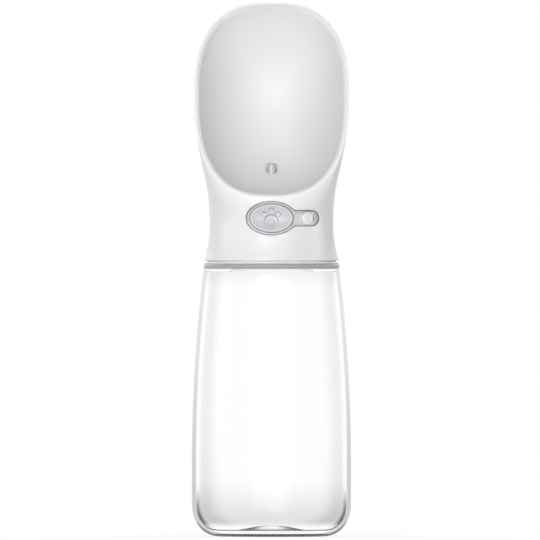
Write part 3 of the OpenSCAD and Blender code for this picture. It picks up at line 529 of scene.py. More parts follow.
def silicone(name, colour, roughness):
    """Moulded silicone: matt and even, with clouds of fine dust, and a painted sheen that pales it where it
    turns away.
    """
    material, tree = new_material(name)
    place = add(tree, "ShaderNodeTexCoord").outputs["Object"]
    # The real grain is near 0.05 mm; it is drawn at 0.4 mm so that it shows. The dust lies in 4 mm clouds
    grain = add(tree, NOISE, {"Vector": place, "Scale": 1250.0, "Detail": 2.0})
    dust = add(tree, NOISE, {"Vector": place, "Scale": 120.0, "Detail": 3.0})
    blend = add(tree, MIX, (dust, toned(colour, 0.93), toned(colour)), data_type="RGBA")
    # Painted sheen: the colour pales where the face turns away
    turned = add(tree, "ShaderNodeLayerWeight", {"Blend": 0.5}).outputs["Facing"]
    painted_sheen = add(tree, RANGE, (turned, 0.3, 0.9, 0.0, 0.6))
    dust_and_painted_sheen = add(tree, MIX, (painted_sheen, blend, toned(colour, 1.7)), data_type="RGBA")
    skin = add(tree, BUMP, {"Height": grain, "Strength": 0.4, "Distance": 0.02 * MM})
    shader = add(tree, PRINCIPLED, {
        "Base Color": dust_and_painted_sheen, "Roughness": roughness, "IOR": 1.42, "Normal": skin})
    add(tree, "ShaderNodeOutputMaterial", {"Surface": shader})
    return material


def stainless(name, colour):
    """Drawn and turned stainless steel: a grey metal with fine lines along the wire and round the heads."""
    material, tree = new_material(name)
    place = add(tree, "ShaderNodeTexCoord").outputs["Object"]
    spread = add(tree, "ShaderNodeMapping", {"Vector": place, "Scale": (1.0, 1.0, 14.0)})
    lines = add(tree, NOISE, {"Vector": spread, "Scale": 700.0, "Detail": 2.0})
    gloss = add(tree, RANGE, (lines, 0.0, 1.0, 0.22, 0.42))
    skin = add(tree, BUMP, {"Height": lines, "Strength": 0.3, "Distance": 0.01 * MM})
    shader = add(tree, PRINCIPLED, {
        "Base Color": toned(colour), "Metallic": 1.0, "Roughness": gloss, "Normal": skin})
    add(tree, "ShaderNodeOutputMaterial", {"Surface": shader})
    return material


class Head:
    """The rim plane of the head, and the shell's form that is drawn from it."""

    def __init__(self, sizes):
        self.s = sizes
        run, rise = sizes.lip_reach + sizes.top_reach, sizes.top_height - sizes.lip_height
        slant = math.hypot(run, rise)
        self.up = Vector((0, run, rise)) / slant
        self.inward = Vector((0, self.up.z, -self.up.y))
        self.low = slant * sizes.rim_widest
        self.high = slant - self.low
        self.centre = Vector((0, -sizes.lip_reach, sizes.lip_height)) + self.up * self.low
        self.power = 2 / sizes.squareness

    def rim(self, angle, margin):
        """A point of the rim outline, drawn in by a margin."""
        across = (self.s.rim_half_width - margin) * bend(math.cos(angle), self.power)
        reach = self.low if math.sin(angle) < 0 else self.high
        along = (reach - margin) * bend(math.sin(angle), self.power)
        return self.centre + Vector((across, 0, 0)) + self.up * along

    def side(self, angle, t, wall, edge):
        """A point of the shell over the waist, at share t of the side line at an angle. The line leaves the
        waist straight up to its first handle and comes to the rim from its last one. q runs from -1 at the
        front to 1 at the back."""
        s, q = self.s, bend(math.sin(angle), self.power)
        r = s.waist_radius - wall
        start = Vector((r * math.cos(angle), r * math.sin(angle), s.waist_height))
        end = self.rim(angle, edge)
        # The back bulges so far that the bowl clears it: the curve takes 4/9 of its handle's pull there
        pull = (s.bowl_depth + s.bowl_wall - s.back_room) * 9 / 4 - 0.75 * wall
        # The sides draw in a little under the rim, most towards the front
        inward = 2.4 * MM * math.cos(angle) * (1 - q) ** 2 * (1 + q)
        back = pull * ((1 + q) / 2) ** 2
        # Lengths of the handles in mm at the front, sides and back: 4, 22, 6 at the rim, 4, 18, 32 at the waist
        down = (22 + q - 17 * q * q) * MM
        first = start + Vector((0, 0, (18 + 14 * q) * MM))
        last = end + Vector((-inward, back, -down))
        u = 1 - t
        return start * u ** 3 + first * (3 * t * u * u) + last * (3 * t * t * u) + end * t ** 3

    def collar(self, height):
        """Outer radius of the shell under the waist."""
        s = self.s
        share = (s.waist_height - height) / (s.waist_height - s.collar_height)
        return s.waist_radius + (s.collar_radius - s.waist_radius) * share ** 2

    def edge(self, t):
        """The wall at share t: from 0.58 to 0.92 of the way up it thins to the edge round the bowl."""
        full = min(1, max(0, 3 * (1 - t) - 0.25))
        return self.s.rim_edge + (self.s.shell_wall - self.s.rim_edge) * full

    def mark_band(self, data, depth):
        """Marks the faces of a rim band, which lie within a depth of the rim plane."""
        mark = data.attributes.new("band", "FLOAT", "FACE")
        for face, item in zip(data.polygons, mark.data):
            deepest = max((data.vertices[i].co - self.centre).dot(self.inward) for i in face.vertices)
            item.value = 1.0 if deepest < depth else 0.0


def keyhole(sizes, count=220):
    """The recess outline seen from the front, as (x, z, outward x, outward z) from the button's centre."""
    a, b, half = sizes.recess_width / 2, sizes.recess_tall / 2, sizes.slot_half
    # The arm leaves the oval in a rounded corner, and its end is round the knob's furthest place on the plate
    corner, plate = 1.6 * MM, 24.8 * MM
    end = plate * math.sin(sizes.knob_angle) + sizes.knob_travel * math.cos(sizes.knob_angle)

    def oval(angle):
        n = Vector((math.cos(angle) / a, math.sin(angle) / b)).normalized()
        return Vector((a * math.cos(angle), b * math.sin(angle))), n

    # The place on the oval where a corner's circle touches both it and the arm
    low, high = 0.0, math.pi / 2
    for _ in range(40):
        middle = (low + high) / 2
        point, n = oval(middle)
        if (point + n * corner).y < half + corner:
            low = middle
        else:
            high = middle
    touch, n = oval(low)
    centre = touch + n * corner
    turn = math.atan2(-n.y, -n.x) + math.pi / 2
    line = []
    for k in range(25):
        angle = math.pi / 2 * k / 24
        line.append(Vector((end + half * math.cos(angle), half * math.sin(angle))))
    for k in range(1, 11):
        angle = -math.pi / 2 + turn * k / 10
        line.append(centre + Vector((math.cos(angle), math.sin(angle))) * corner)
    line += [oval(low + (math.pi - low) * k / 60)[0] for k in range(1, 61)]
    line += [Vector((p.x, -p.y)) for p in reversed(line[1:-1])]
    # Even steps along the line
    spans = [(q - p).length for p, q in zip(line, line[1:] + line[:1])]
    total, even, i, gone = sum(spans), [], 0, 0.0
    for k in range(count):
        want = total * k / count
        while gone + spans[i] < want:
            gone += spans[i]
            i += 1
        p, q = line[i], line[(i + 1) % len(line)]
        even.append(p.lerp(q, (want - gone) / spans[i] if spans[i] else 0))
    result = []
    for k, p in enumerate(even):
        along = (even[(k + 1) % count] - even[k - 1]).normalized()
        result.append((p.x, p.y, along.y, -along.x))
    return result


class BOTTLE_OT_stage(bpy.types.Operator):
    """Make the camera, the lamps, the pale floor and the white surroundings"""
    bl_idname = "dogbottle.stage"
    bl_label = "Stage"

    def execute(self, context):
        s = context.scene.dogbottle_stage
        scene = context.scene
        scene.view_settings.view_transform = "Standard"
        camera = bpy.data.cameras.new("Camera")
        camera.lens, camera.sensor_width = s.lens, 36
        away = s.picture_width / 2 / (camera.sensor_width / 2 / camera.lens)
        eye = bpy.data.objects.new("Camera", camera)
        eye.location = (-s.eye_left, -away, s.eye_height)
        eye.rotation_euler = (math.pi / 2, 0, 0)
        camera.clip_end = 3 * away
        scene.collection.objects.link(eye)
        scene.camera = eye

        # Angle round from the front, angle up, and size of each lamp
        aim, distance = Vector((0, 0, 0.16)), 1.2
        for name, power, turn, rise, size in (
            ("Front", s.key_power, -10, 4, 0.6), ("Fill", s.fill_power, 20, 4, 0.5),
            ("Side", s.side_power, -90, 5, 0.5), ("High", s.high_power, -35, 55, 0.25),
            ("Back left", s.back_power, -150, 22, 0.6), ("Back right", s.back_power, 150, 22, 0.6),
        ):
            lamp = bpy.data.lights.new(name, "AREA")
            lamp.energy, lamp.size, lamp.shape = power, size, "DISK"
            holder = bpy.data.objects.new(name, lamp)
            turn, rise = math.radians(turn), math.radians(rise)
            level = math.cos(rise)
            way = Vector((math.sin(turn) * level, -math.cos(turn) * level, math.sin(rise)))
            holder.location = aim + way * distance
            holder.rotation_euler = (-way).to_track_quat("-Z", "Y").to_euler()
            scene.collection.objects.link(holder)

        world = scene.world or bpy.data.worlds.new("World")
        scene.world = world
        world.use_nodes = True
        tree = world.node_tree
        tree.nodes.clear()
        soft = add(tree, "ShaderNodeBackground", {"Color": (0.99, 0.985, 1.0, 1), "Strength": s.ambient})
        white = add(tree, "ShaderNodeBackground", {"Color": (1, 1, 1, 1), "Strength": 1.0})
        both = add(tree, "ShaderNodeMixShader", (seen_straight(tree), soft, white))
        add(tree, "ShaderNodeOutputWorld", {"Surface": both})

        self.floor(context)
        self.strip(context, s)
        return {"FINISHED"}

    def floor(self, context):
        """A round pale floor: it keeps the soft shadow near the foot and fades into the white surroundings."""
        material, tree = new_material("Painted floor")
        place = add(tree, "ShaderNodeTexCoord").outputs["Object"]
        reach = add(tree, VECTOR, (place,), operation="LENGTH")
        far = add(tree, RANGE, (reach, 0.03, 0.14, 0.85, 1.0), interpolation_type=SOFT)
        share = add(tree, MATH, (seen_straight(tree), far), operation="MULTIPLY")
        paint = add(tree, PRINCIPLED, {"Base Color": toned(srgb("F4F4F4")), "Roughness": 0.7})
        white = add(tree, "ShaderNodeEmission", {"Color": (1, 1, 1, 1), "Strength": 1.0})
        both = add(tree, "ShaderNodeMixShader", (share, paint, white))
        add(tree, "ShaderNodeOutputMaterial", {"Surface": both})
        # Just under the foot, so that the two never share a plane
        level = -0.05 * MM
        disc = lathe([(r, level) for r in (0.05, 0.3, 1.5)], 96, (0, 0, level))
        floor = to_object(context, disc, "Floor")
        floor.data.materials.append(material)

    def strip(self, context, s):
        """A bright strip on the right that only the gloss sees, to light the clear edge."""
        away, front, back, top = 0.5, -0.11, 0.13, 0.36
        rings = [[(away, y, 0.0), (away, y, top)] for y in (front, back)]
        material, tree = new_material("Light strip")
        card = add(tree, "ShaderNodeEmission", {"Color": (1, 1, 1, 1), "Strength": s.strip_card})
        add(tree, "ShaderNodeOutputMaterial", {"Surface": card})
        piece = to_object(context, loft(rings, around=False), "Strip")
        piece.data.materials.append(material)
        piece.visible_camera = piece.visible_diffuse = piece.visible_shadow = False


class BOTTLE_OT_bottle(bpy.types.Operator):
    """Make the clear blown bottle with its domed base and its two-start thread"""
    bl_idname = "dogbottle.bottle"
    bl_label = "Clear bottle"

    def execute(self, context):
        s, c = context.scene.dogbottle_bottle, context.scene.dogbottle_finishes
        steps, foot_steps, dome_steps, side_steps = 192, 20, 14, 30
        dome_radius = s.foot_radius - s.foot_width

        def side(z):
            share = (z - s.widest_height) / (s.shoulder_height - s.widest_height)
            return s.widest_radius - (s.widest_radius - s.shoulder_radius) * share ** 2

        def foot(i, start, radius, bottom):
            angle = math.pi / 2 * i / foot_steps
            return (start + (radius - start) * math.sin(angle),
                    s.foot_rise - (s.foot_rise - bottom) * math.cos(angle))

        def dome(i, base, top):
            share = i / dome_steps
            return (dome_radius * share, base + (top - base) * (1 + math.cos(math.pi * share)) / 2)

        def climb(low, high, wall):
            levels = [low + (high - low) * i / side_steps for i in range(1, side_steps + 1)]
            return [(side(z) - wall, z) for z in levels]

        # Outside: the dome, the foot, the side, the shoulder, and the neck in fine rows for the thread
        shoulder, mouth, neck = s.shoulder_height, s.mouth_height, s.neck_radius
        bore = neck - s.neck_wall
        outside = [dome(i, 0, s.dome_rise) for i in range(1, dome_steps + 1)]
        outside += [foot(i, s.foot_radius, s.widest_radius, 0) for i in range(foot_steps + 1)]
        top, root, row = shoulder - 0.6 * MM, shoulder + 0.9 * MM, 0.2 * MM
        outside += climb(s.widest_height, top, 0)[:-1]
        outside += rounded([
            (side(top), top, 0), (s.shoulder_radius - 0.2 * MM, shoulder, 0.5 * MM),
            (neck, shoulder, 0.5 * MM), (neck, root, 0)])
        outside += [(neck, root + row * i) for i in range(1, round((mouth - shoulder - 1.4 * MM) / row))]
        outside += rounded([
            (neck, mouth - 0.6 * MM, 0), (neck, mouth, 0.4 * MM), (bore, mouth, 0.4 * MM),
            (bore, mouth - 0.8 * MM, 0)])
        # Inside: the blown wall thins towards the shoulder
        thin = 0.55 * s.wall
        under, low = shoulder - thin, shoulder - 8 * MM
        inside = rounded([
            (bore, mouth - 1 * MM, 0), (bore, under, 0.8 * MM), (side(under) - thin, under, 1.0 * MM),
            (side(low) - s.wall, low, 0)], 6)
        inside += climb(low, s.widest_height, s.wall)
        inside += [foot(i, s.foot_radius + 1 * MM, s.widest_radius - s.wall, s.floor)
                   for i in range(foot_steps - 1, -1, -1)]
        inside += [dome(i, s.floor, s.dome_rise + s.dome_floor) for i in range(dome_steps, 0, -1)]
        mesh = lathe(outside + inside, steps, (0, 0, s.dome_rise), (0, 0, s.dome_rise + s.dome_floor))
        self.thread(mesh, s)
        piece = to_object(context, mesh, "clear_bottle")
        # The lower pole comes after the rings, and belongs to the outside
        mark = piece.data.attributes.new("inside", "FLOAT", "POINT")
        inner, pole = len(outside) * steps, (len(outside) + len(inside)) * steps
        for i, item in enumerate(mark.data):
            item.value = 0.0 if i < inner or i == pole else 1.0
        plastic = clear_plastic_painted_shade("Blown clear copolyester", c.clear, 20 * MM, shoulder)
        finish(context, piece, "bottle", "bottle", plastic, 50)
        return {"FINISHED"}

    def thread(self, mesh, s):
        """Raises the two thread ridges on the neck's outer face."""
        # Widths of a ridge at its root and crest, and the share of a turn over which its ends run out
        root, crest, fade = 1.5 * MM, 0.8 * MM, 0.06
        for vert in mesh.verts:
            x, y, z = vert.co
            if abs(math.hypot(x, y) - s.neck_radius) > 0.01 * MM or z < s.shoulder_height + 0.3 * MM:
                continue
            rise = 0.0
            for start in (0.0, 0.5):
                share = (math.atan2(y, x) / (2 * math.pi) - start) % 1.0
                line = s.shoulder_height + s.thread_start + s.thread_lead * share
                slope = (root / 2 - abs(z - line)) / ((root - crest) / 2)
                tip = min(1, share / fade, (1 - share) / fade)
                rise = max(rise, min(1, max(0, slope)) * tip)
            scale = 1 + rise * s.thread_depth / s.neck_radius
            vert.co = (x * scale, y * scale, z)


class BOTTLE_OT_ring(bpy.types.Operator):
    """Make the grey silicone ring between the bottle and the head"""
    bl_idname = "dogbottle.ring"
    bl_label = "Grey ring"

    def execute(self, context):
        s, c = context.scene.dogbottle_bottle, context.scene.dogbottle_finishes
        low, high, out = s.shoulder_height, s.ring_top, s.shoulder_radius
        middle, outer_round, inner_round = (low + high) / 2, 1.2 * s.ring_round, 0.2 * MM
        corners = [
            (s.ring_bore, middle, 0), (s.ring_bore, low, inner_round), (out, low, outer_round),
            (out, high, outer_round), (s.ring_bore, high, inner_round), (s.ring_bore, middle, 0)]
        piece = to_object(context, lathe(rounded(corners, 6)[:-1], 160, "loop"), "grey_ring")
        rubber = silicone("Moulded grey silicone", c.ring, 0.55)
        finish(context, piece, "ring", "seal_ring", rubber, 50)
        return {"FINISHED"}


class BOTTLE_OT_shell(bpy.types.Operator):
    """Make the glossy white head shell with its rounded edge and the keyhole recess"""
    bl_idname = "dogbottle.shell"
    bl_label = "Head shell"

    def execute(self, context):
        sizes, k = context.scene.dogbottle_head, context.scene.dogbottle_controls
        c = context.scene.dogbottle_finishes
        head = Head(sizes)
        around, collar_rows, rows = 224, 10, 40
        wall, height = sizes.shell_wall, sizes.waist_height - sizes.collar_height

        def collar_ring(z, wall):
            r = head.collar(z) - wall
            return [(r * math.cos(a), r * math.sin(a), z) for a in turns(around)]

        def side_ring(t, wall, edge):
            return [head.side(a, t, wall, edge) for a in turns(around)]

        levels = [sizes.collar_height + height * j / collar_rows for j in range(collar_rows)]
        rings = [collar_ring(z, 0) for z in levels]
        rings += [side_ring(j / rows, 0, 0) for j in range(rows + 1)]
        outer = len(rings) - 1
        rings += [side_ring(j / rows, wall, head.edge(j / rows)) for j in range(rows, -1, -2)]
        rings += [collar_ring(z, wall) for z in reversed(levels[::2])]
        piece = to_object(context, loft(rings, "loop"), "head_shell_white")
        self.soften(piece, {outer, 0, len(rings) - 1}, around, sizes.edge_round)
        surface = BVHTree.FromPolygons([v.co.copy() for v in piece.data.vertices],
                                       [tuple(p.vertices) for p in piece.data.polygons])
        settle(context, piece)
        carve(context, piece, self.recess_cutter(context, k, surface))
        # Painted highlight: the faces of the rim edge are drawn 12 percent lighter than the rest of the shell
        head.mark_band(piece.data, 0.5 * sizes.edge_round)
        gloss = moulded("Glossy white ABS", c.shell, c.shell_gloss, 1.53, 1.2 * MM, 0.006 * MM,
                        spread=0.03, painted_light_factor=1.12)
        finish(context, piece, "head", "head_shell", gloss, 40)
        return {"FINISHED"}

    def soften(self, piece, rows, around, size):
        """Rounds the edge loops of the given rows."""
        weights = piece.data.attributes.new("bevel_weight_edge", "FLOAT", "EDGE")
        for edge in piece.data.edges:
            a, b = edge.vertices
            if a // around == b // around and a // around in rows:
                weights.data[edge.index].value = 1.0
        step = piece.modifiers.new("Soft edge", "BEVEL")
        step.limit_method, step.width, step.segments = "WEIGHT", size, 3

    def recess_cutter(self, context, k, surface):
        """A keyhole plug whose walls flare where they meet the shell, which leaves a rounded edge."""
        # How far the plug's outline grows, and how deep it lies under the shell's surface there (minus: over it)
        flares = (
            (0, 14 * MM), (0, 0.42 * MM), (0.04 * MM, 0.24 * MM), (0.13 * MM, 0.12 * MM),
            (0.26 * MM, 0.04 * MM), (0.5 * MM, -0.06 * MM), (1.1 * MM, -0.32 * MM))
        # Where the plug is seen from, the plane that it ends in, and the round that stands in beyond the shell
        eye, front, spare = -0.1, -0.04, 26 * MM
        rings = []
        for flare, sink in flares:
            ring = []
            for x, z, nx, nz in keyhole(k):
                px, pz = x + nx * flare, k.height + z + nz * flare
                hit = surface.ray_cast(Vector((px, eye, pz)), Vector((0, 1, 0)))[0]
                y = hit.y if hit else -math.sqrt(max(0, spare ** 2 - px * px))
                ring.append((px, y + sink, pz))
            rings.append(ring)
        rings.append([(x, front, z) for x, _, z in rings[-1]])
        return to_object(context, loft(rings, "fill", "fill"), "recess_cutter")


class BOTTLE_OT_bowl(bpy.types.Operator):
    """Make the drinking bowl from its rule with Geometry Nodes, and cut the hole for the outlet"""
    bl_idname = "dogbottle.bowl"
    bl_label = "Drinking bowl"

    def execute(self, context):
        sizes, c = context.scene.dogbottle_head, context.scene.dogbottle_finishes
        v = context.scene.dogbottle_valve
        head = Head(sizes)
        # Painted shade: the faces of the bowl's rim band are drawn 2 percent darker
        satin = moulded("Satin white polypropylene", c.bowl, c.bowl_gloss, 1.49, 0.5 * MM, 0.004 * MM,
                        painted_light_factor=0.98)
        piece = node_mesh(context, "drinking_bowl", self.tree(), {
            "Around": 192, "Rows": 40, "Half Width": sizes.rim_half_width, "Low Reach": head.low,
            "High Reach": head.high, "Power": head.power, "Inner Margin": sizes.rim_edge + sizes.bowl_band,
            "Outer Margin": sizes.rim_edge - sizes.bowl_lap, "Depth": sizes.bowl_depth - sizes.band_slope,
            "Wall": sizes.bowl_wall, "Sink": sizes.bowl_sink, "Slope": sizes.band_slope,
            "Fullness": sizes.fullness, "Centre": head.centre, "Up": head.up, "Inward": head.inward,
            "Material": satin})
        mesh = bmesh.new()
        mesh.from_mesh(piece.data)
        bmesh.ops.remove_doubles(mesh, verts=mesh.verts, dist=0.001 * MM)
        bmesh.ops.recalc_face_normals(mesh, faces=mesh.faces)
        mesh.to_mesh(piece.data)
        mesh.free()
        step = piece.modifiers.new("Soft rim", "BEVEL")
        step.limit_method, step.angle_limit = "ANGLE", math.radians(50)
        step.width, step.segments = 0.12 * MM, 2
        settle(context, piece)
        # The hole leaves a fine gap round the nozzle, and its cutter reaches past the bowl's wall both ways
        radius, past, top = v.nozzle_radius + 0.3 * MM, 12 * MM, NOZZLE_HIGH.z
        hole = lathe([(radius, top - past), (radius, top + past)], 64, "fill", "fill")
        bmesh.ops.translate(hole, verts=hole.verts, vec=(0, (NOZZLE_LOW.y + NOZZLE_HIGH.y) / 2, 0))
        carve(context, piece, to_object(context, hole, "outlet_cutter"))
        head.mark_band(piece.data, sizes.bowl_sink + sizes.band_slope + 0.02 * MM)
        finish(context, piece, "head", "bowl", satin, 40)
        return {"FINISHED"}

    def tree(self):
        """The bowl's rule: a grid of rows from the inner pole over the rim to the outer pole, each row a
        squared oval that is sunk by depth times (1 - share squared) to the power of fullness."""
        tree, given = new_tree(
            "Drinking bowl", Int="Around, Rows", Vector="Centre, Up, Inward", Material="Material",
            Float="Half Width, Low Reach, High Reach, Power, Inner Margin, Outer Margin, Depth, Wall, Sink, "
                  "Slope, Fullness")
        known = dict(given.items())
        # A grid whose columns go round the bowl and whose rows go over its rim
        chain(tree, known, (
            ("columns", MATH, "ADD", "Around", 1.0),
            ("total", MATH, "MULTIPLY", "Rows", 2.0),
            ("total", MATH, "ADD", "total", 1.0),
            ("last", MATH, "SUBTRACT", "total", 1.0)))
        grid = add(tree, "GeometryNodeMeshGrid", (1.0, 1.0, known["columns"], known["total"]))
        keep = add(tree, "GeometryNodeCaptureAttribute", (grid,), domain="POINT")
        keep.capture_items.new("VECTOR", "Place")
        tree.links.new(grid.outputs["UV Map"], keep.inputs["Place"])
        known["u"], known["v"], _ = add(tree, "ShaderNodeSeparateXYZ", (keep.outputs["Place"],)).outputs
        chain(tree, known, (
            ("angle", MATH, "MULTIPLY", "u", 2 * math.pi),
            ("row", MATH, "MULTIPLY", "v", "last"),
            ("row", MATH, "ROUND", "row"),
            # Rows up to the given count are the inner face; the next starts the outer face at the same rim
            ("outer", MATH, "GREATER_THAN", "row", "Rows"),
            ("back", MATH, "SUBTRACT", "last", "row"),
            ("step", SWITCH, "FLOAT", "outer", "row", "back"),
            ("turn", MATH, "DIVIDE", "step", "Rows"),
            ("turn", MATH, "MINIMUM", "turn", 1.0),
            ("turn", MATH, "MULTIPLY", "turn", math.pi / 2),
            ("share", MATH, "SINE", "turn"),
            ("margin", SWITCH, "FLOAT", "outer", "Inner Margin", "Outer Margin"),
            ("thick", MATH, "ADD", "Wall", "Slope"),
            ("thick", MATH, "MULTIPLY", "outer", "thick"),
            ("inner", MATH, "SUBTRACT", 1.0, "outer"),
            ("fall", MATH, "MULTIPLY", "inner", "Slope"),
            ("cosine", MATH, "COSINE", "angle"),
            ("sine", MATH, "SINE", "angle"),
            ("front", MATH, "LESS_THAN", "sine", 0.0),
            ("Reach", SWITCH, "FLOAT", "front", "High Reach", "Low Reach")))
        # Across and along the rim: a signed power of cosine and sine squares the oval
        for wave, full, result in (("cosine", "Half Width", "across"), ("sine", "Reach", "along")):
            chain(tree, known, (
                ("size", MATH, "ABSOLUTE", wave),
                ("size", MATH, "POWER", "size", "Power"),
                ("sign", MATH, "SIGN", wave),
                ("reach", MATH, "SUBTRACT", full, "margin"),
                (result, MATH, "MULTIPLY", "size", "sign"),
                (result, MATH, "MULTIPLY", result, "reach"),
                (result, MATH, "MULTIPLY", result, "share")))
        known["aside"] = add(tree, "ShaderNodeCombineXYZ", (known["across"],))
        chain(tree, known, (
            # Depth under the rim
            ("square", MATH, "MULTIPLY", "share", "share"),
            ("left", MATH, "SUBTRACT", 1.0, "square"),
            ("left", MATH, "MAXIMUM", "left", 0.0),
            ("full", MATH, "POWER", "left", "Fullness"),
            ("deep", MATH, "ADD", "Depth", "thick"),
            ("sunk", MATH, "MULTIPLY", "full", "deep"),
            ("sunk", MATH, "ADD", "sunk", "Sink"),
            ("sunk", MATH, "ADD", "sunk", "fall"),
            # Into the rim plane's frame
            ("upward", VECTOR, "SCALE", "Up", "along"),
            ("inward", VECTOR, "SCALE", "Inward", "sunk"),
            ("point", VECTOR, "ADD", "Centre", "aside"),
            ("point", VECTOR, "ADD", "point", "upward"),
            ("point", VECTOR, "ADD", "point", "inward")))
        moved = add(tree, "GeometryNodeSetPosition", {"Geometry": keep, "Position": known["point"]})
        end_tree(tree, moved, known["Material"])
        return tree


class BOTTLE_OT_outlet(bpy.types.Operator):
    """Make the small outlet nozzle at the bottom of the bowl"""
    bl_idname = "dogbottle.outlet"
    bl_label = "Outlet nozzle"

    def execute(self, context):
        v, c = context.scene.dogbottle_valve, context.scene.dogbottle_finishes
        # The tip stands a little over the node's, so that it shows as in the photograph
        low, top = NOZZLE_LOW.z, NOZZLE_HIGH.z + 0.9 * MM
        wide, bore, mouth = v.nozzle_radius, 1.0 * MM, 0.5 * MM
        collar, barb = 3.1 * MM, 2.0 * MM
        foot, seat = low + 4 * MM, low + 5 * MM
        corners = [
            (bore, foot, 0), (bore, low, 0.1 * MM), (barb, low, 0.3 * MM), (barb, foot, 0.1 * MM),
            (collar, foot, 0.2 * MM), (collar, seat, 0.2 * MM), (wide, seat, 0.1 * MM),
            (wide, top, 1.45 * MM), (mouth, top, 0.1 * MM), (mouth, top - 1 * MM, 0), (bore, foot, 0)]
        mesh = lathe(rounded(corners, 4)[:-1], 64, "loop")
        bmesh.ops.translate(mesh, verts=mesh.verts, vec=(0, (NOZZLE_LOW.y + NOZZLE_HIGH.y) / 2, 0))
        piece = to_object(context, mesh, "outlet_nozzle_white")
        # Painted shade: a pale grey colour stands for the white nozzle's shade
        gloss = moulded("Polished pale grey ABS", c.nozzle, 0.1, 1.62, 0.8 * MM, 0.003 * MM, spread=0.03)
        finish(context, piece, "head", "outlet_nozzle", gloss, 50)
        return {"FINISHED"}


class BOTTLE_OT_plate(bpy.types.Operator):
    """Make the control plate that is the floor of the recess"""
    bl_idname = "dogbottle.plate"
    bl_label = "Control plate"

    def execute(self, context):
        c = context.scene.dogbottle_finishes
        piece = refined(context, "control_plate", "control_plate_grey")
        satin = moulded("Satin grey ABS", c.land, 0.3, 1.53, 0.6 * MM, 0.004 * MM)
        finish(context, piece, "head", "control_plate", satin, 30)
        return {"FINISHED"}


class BOTTLE_OT_cap(bpy.types.Operator):
    """Make the threaded cap, whose edge is the white band over the ring"""
    bl_idname = "dogbottle.cap"
    bl_label = "Threaded cap"

    def execute(self, context):
        c = context.scene.dogbottle_finishes
        piece = refined(context, "inner_cap", "threaded_cap")
        satin = moulded("White polypropylene", c.cap, 0.3, 1.49, 0.6 * MM, 0.004 * MM)
        finish(context, piece, "head", "inner_cap", satin, 30)
        return {"FINISHED"}


class BOTTLE_OT_button(bpy.types.Operator):
    """Make the oval button with its rounded rim, its dished face and the moulded paw"""
    bl_idname = "dogbottle.button"
    bl_label = "Button"

    def execute(self, context):
        k, c = context.scene.dogbottle_controls, context.scene.dogbottle_finishes
        steps, face_rows = 160, 52
        front, back = -k.button_reach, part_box("button_cap")[1].y
        # The hidden flange behind the shell, and the wall of the hollow button
        flange, flange_thick, wall = 0.8 * MM, 1.2 * MM, 1.5 * MM
        # The rim's crest, and the slope from it down to the dished face
        crest, slope = 0.85 * MM, 0.75 * MM
        face = front + k.button_dish

        def ring(inset, y):
            a, b = k.button_width / 2 - inset, k.button_tall / 2 - inset
            return [(a * math.cos(t), y, k.height + b * math.sin(t)) for t in turns(steps)]

        # From the back of the flange round to the front
        rings = [
            ring(wall, face + k.button_hollow + wall), ring(wall, back), ring(-flange, back),
            ring(-flange, back - flange_thick), ring(0, back - flange_thick)]
        for i in range(6, -1, -1):
            turn, edge = math.pi / 2 * i / 6, k.button_edge
            rings.append(ring(edge * (1 - math.sin(turn)), front + edge * (1 - math.cos(turn))))
        for i in range(1, 9):
            t = i / 8
            rings.append(ring(crest + slope * t, front + k.button_dish * t * t * (3 - 2 * t)))
        start = crest + slope
        for i in range(1, face_rows):
            share = 1 - i / face_rows
            hollow = k.button_hollow * (1 - share ** 2)
            a, b = (k.button_width / 2 - start) * share, (k.button_tall / 2 - start) * share
            spots = [(a * math.cos(t), b * math.sin(t)) for t in turns(steps)]
            rings.append([(x, face + hollow + self.paw(x, z, k.paw_depth), k.height + z) for x, z in spots])
        middle = face + k.button_hollow
        mesh = loft(rings, (0, middle + wall, k.height), (0, middle + self.paw(0, 0, k.paw_depth), k.height))
        piece = to_object(context, mesh, "button_oval")
        self.mark_walls(piece.data, k.height)
        # Painted shade: the paw's marked walls are drawn at 0.6 of the button's colour
        satin = moulded("Satin pale grey ABS", c.button, 0.28, 1.53, 0.7 * MM, 0.004 * MM,
                        spread=0.03, painted_light_factor=0.6)
        finish(context, piece, "button", "button_cap", satin, 45)
        return {"FINISHED"}

    def mark_walls(self, data, height):
        """Marks the paw's steep walls that look down, which get painted shade so that the paw reads in flat
        light.
        """
        reach, full = 0.15 * MM, 0.6
        mark = data.attributes.new("band", "FLOAT", "FACE")
        for part, item in zip(data.polygons, mark.data):
            x, z = part.center.x, part.center.z - height
            drop = self.paw(x, z - reach, 1.0) - self.paw(x, z + reach, 1.0)
            item.value = min(1.0, max(0.0, drop / full))

    def paw(self, x, z, depth):
        """How far the face is pressed in at a point: three toes and a round pad with a raised middle. Each
        toe is deepest at its upper edge and runs out below."""
        def dent(cx, cz, radius, slant=0.0):
            soft = 0.45 * MM
            gap = (radius - math.hypot(x - cx, z - cz)) / soft + 0.5
            gap = min(1, max(0, gap))
            run = 1 + slant * (z - cz) / radius
            return gap * gap * (3 - 2 * gap) * run

        toes = ((-3 * MM, 1.6 * MM, 1.0 * MM), (0, 3.1 * MM, 1.1 * MM), (2.8 * MM, 1.6 * MM, 1.0 * MM))
        pressed = max(dent(*toe, 0.25) for toe in toes)
        pressed = max(pressed, dent(0, -1.4 * MM, 2.8 * MM, 0.05))
        return depth * pressed - 0.8 * depth * dent(0, -1.8 * MM, 1.4 * MM)


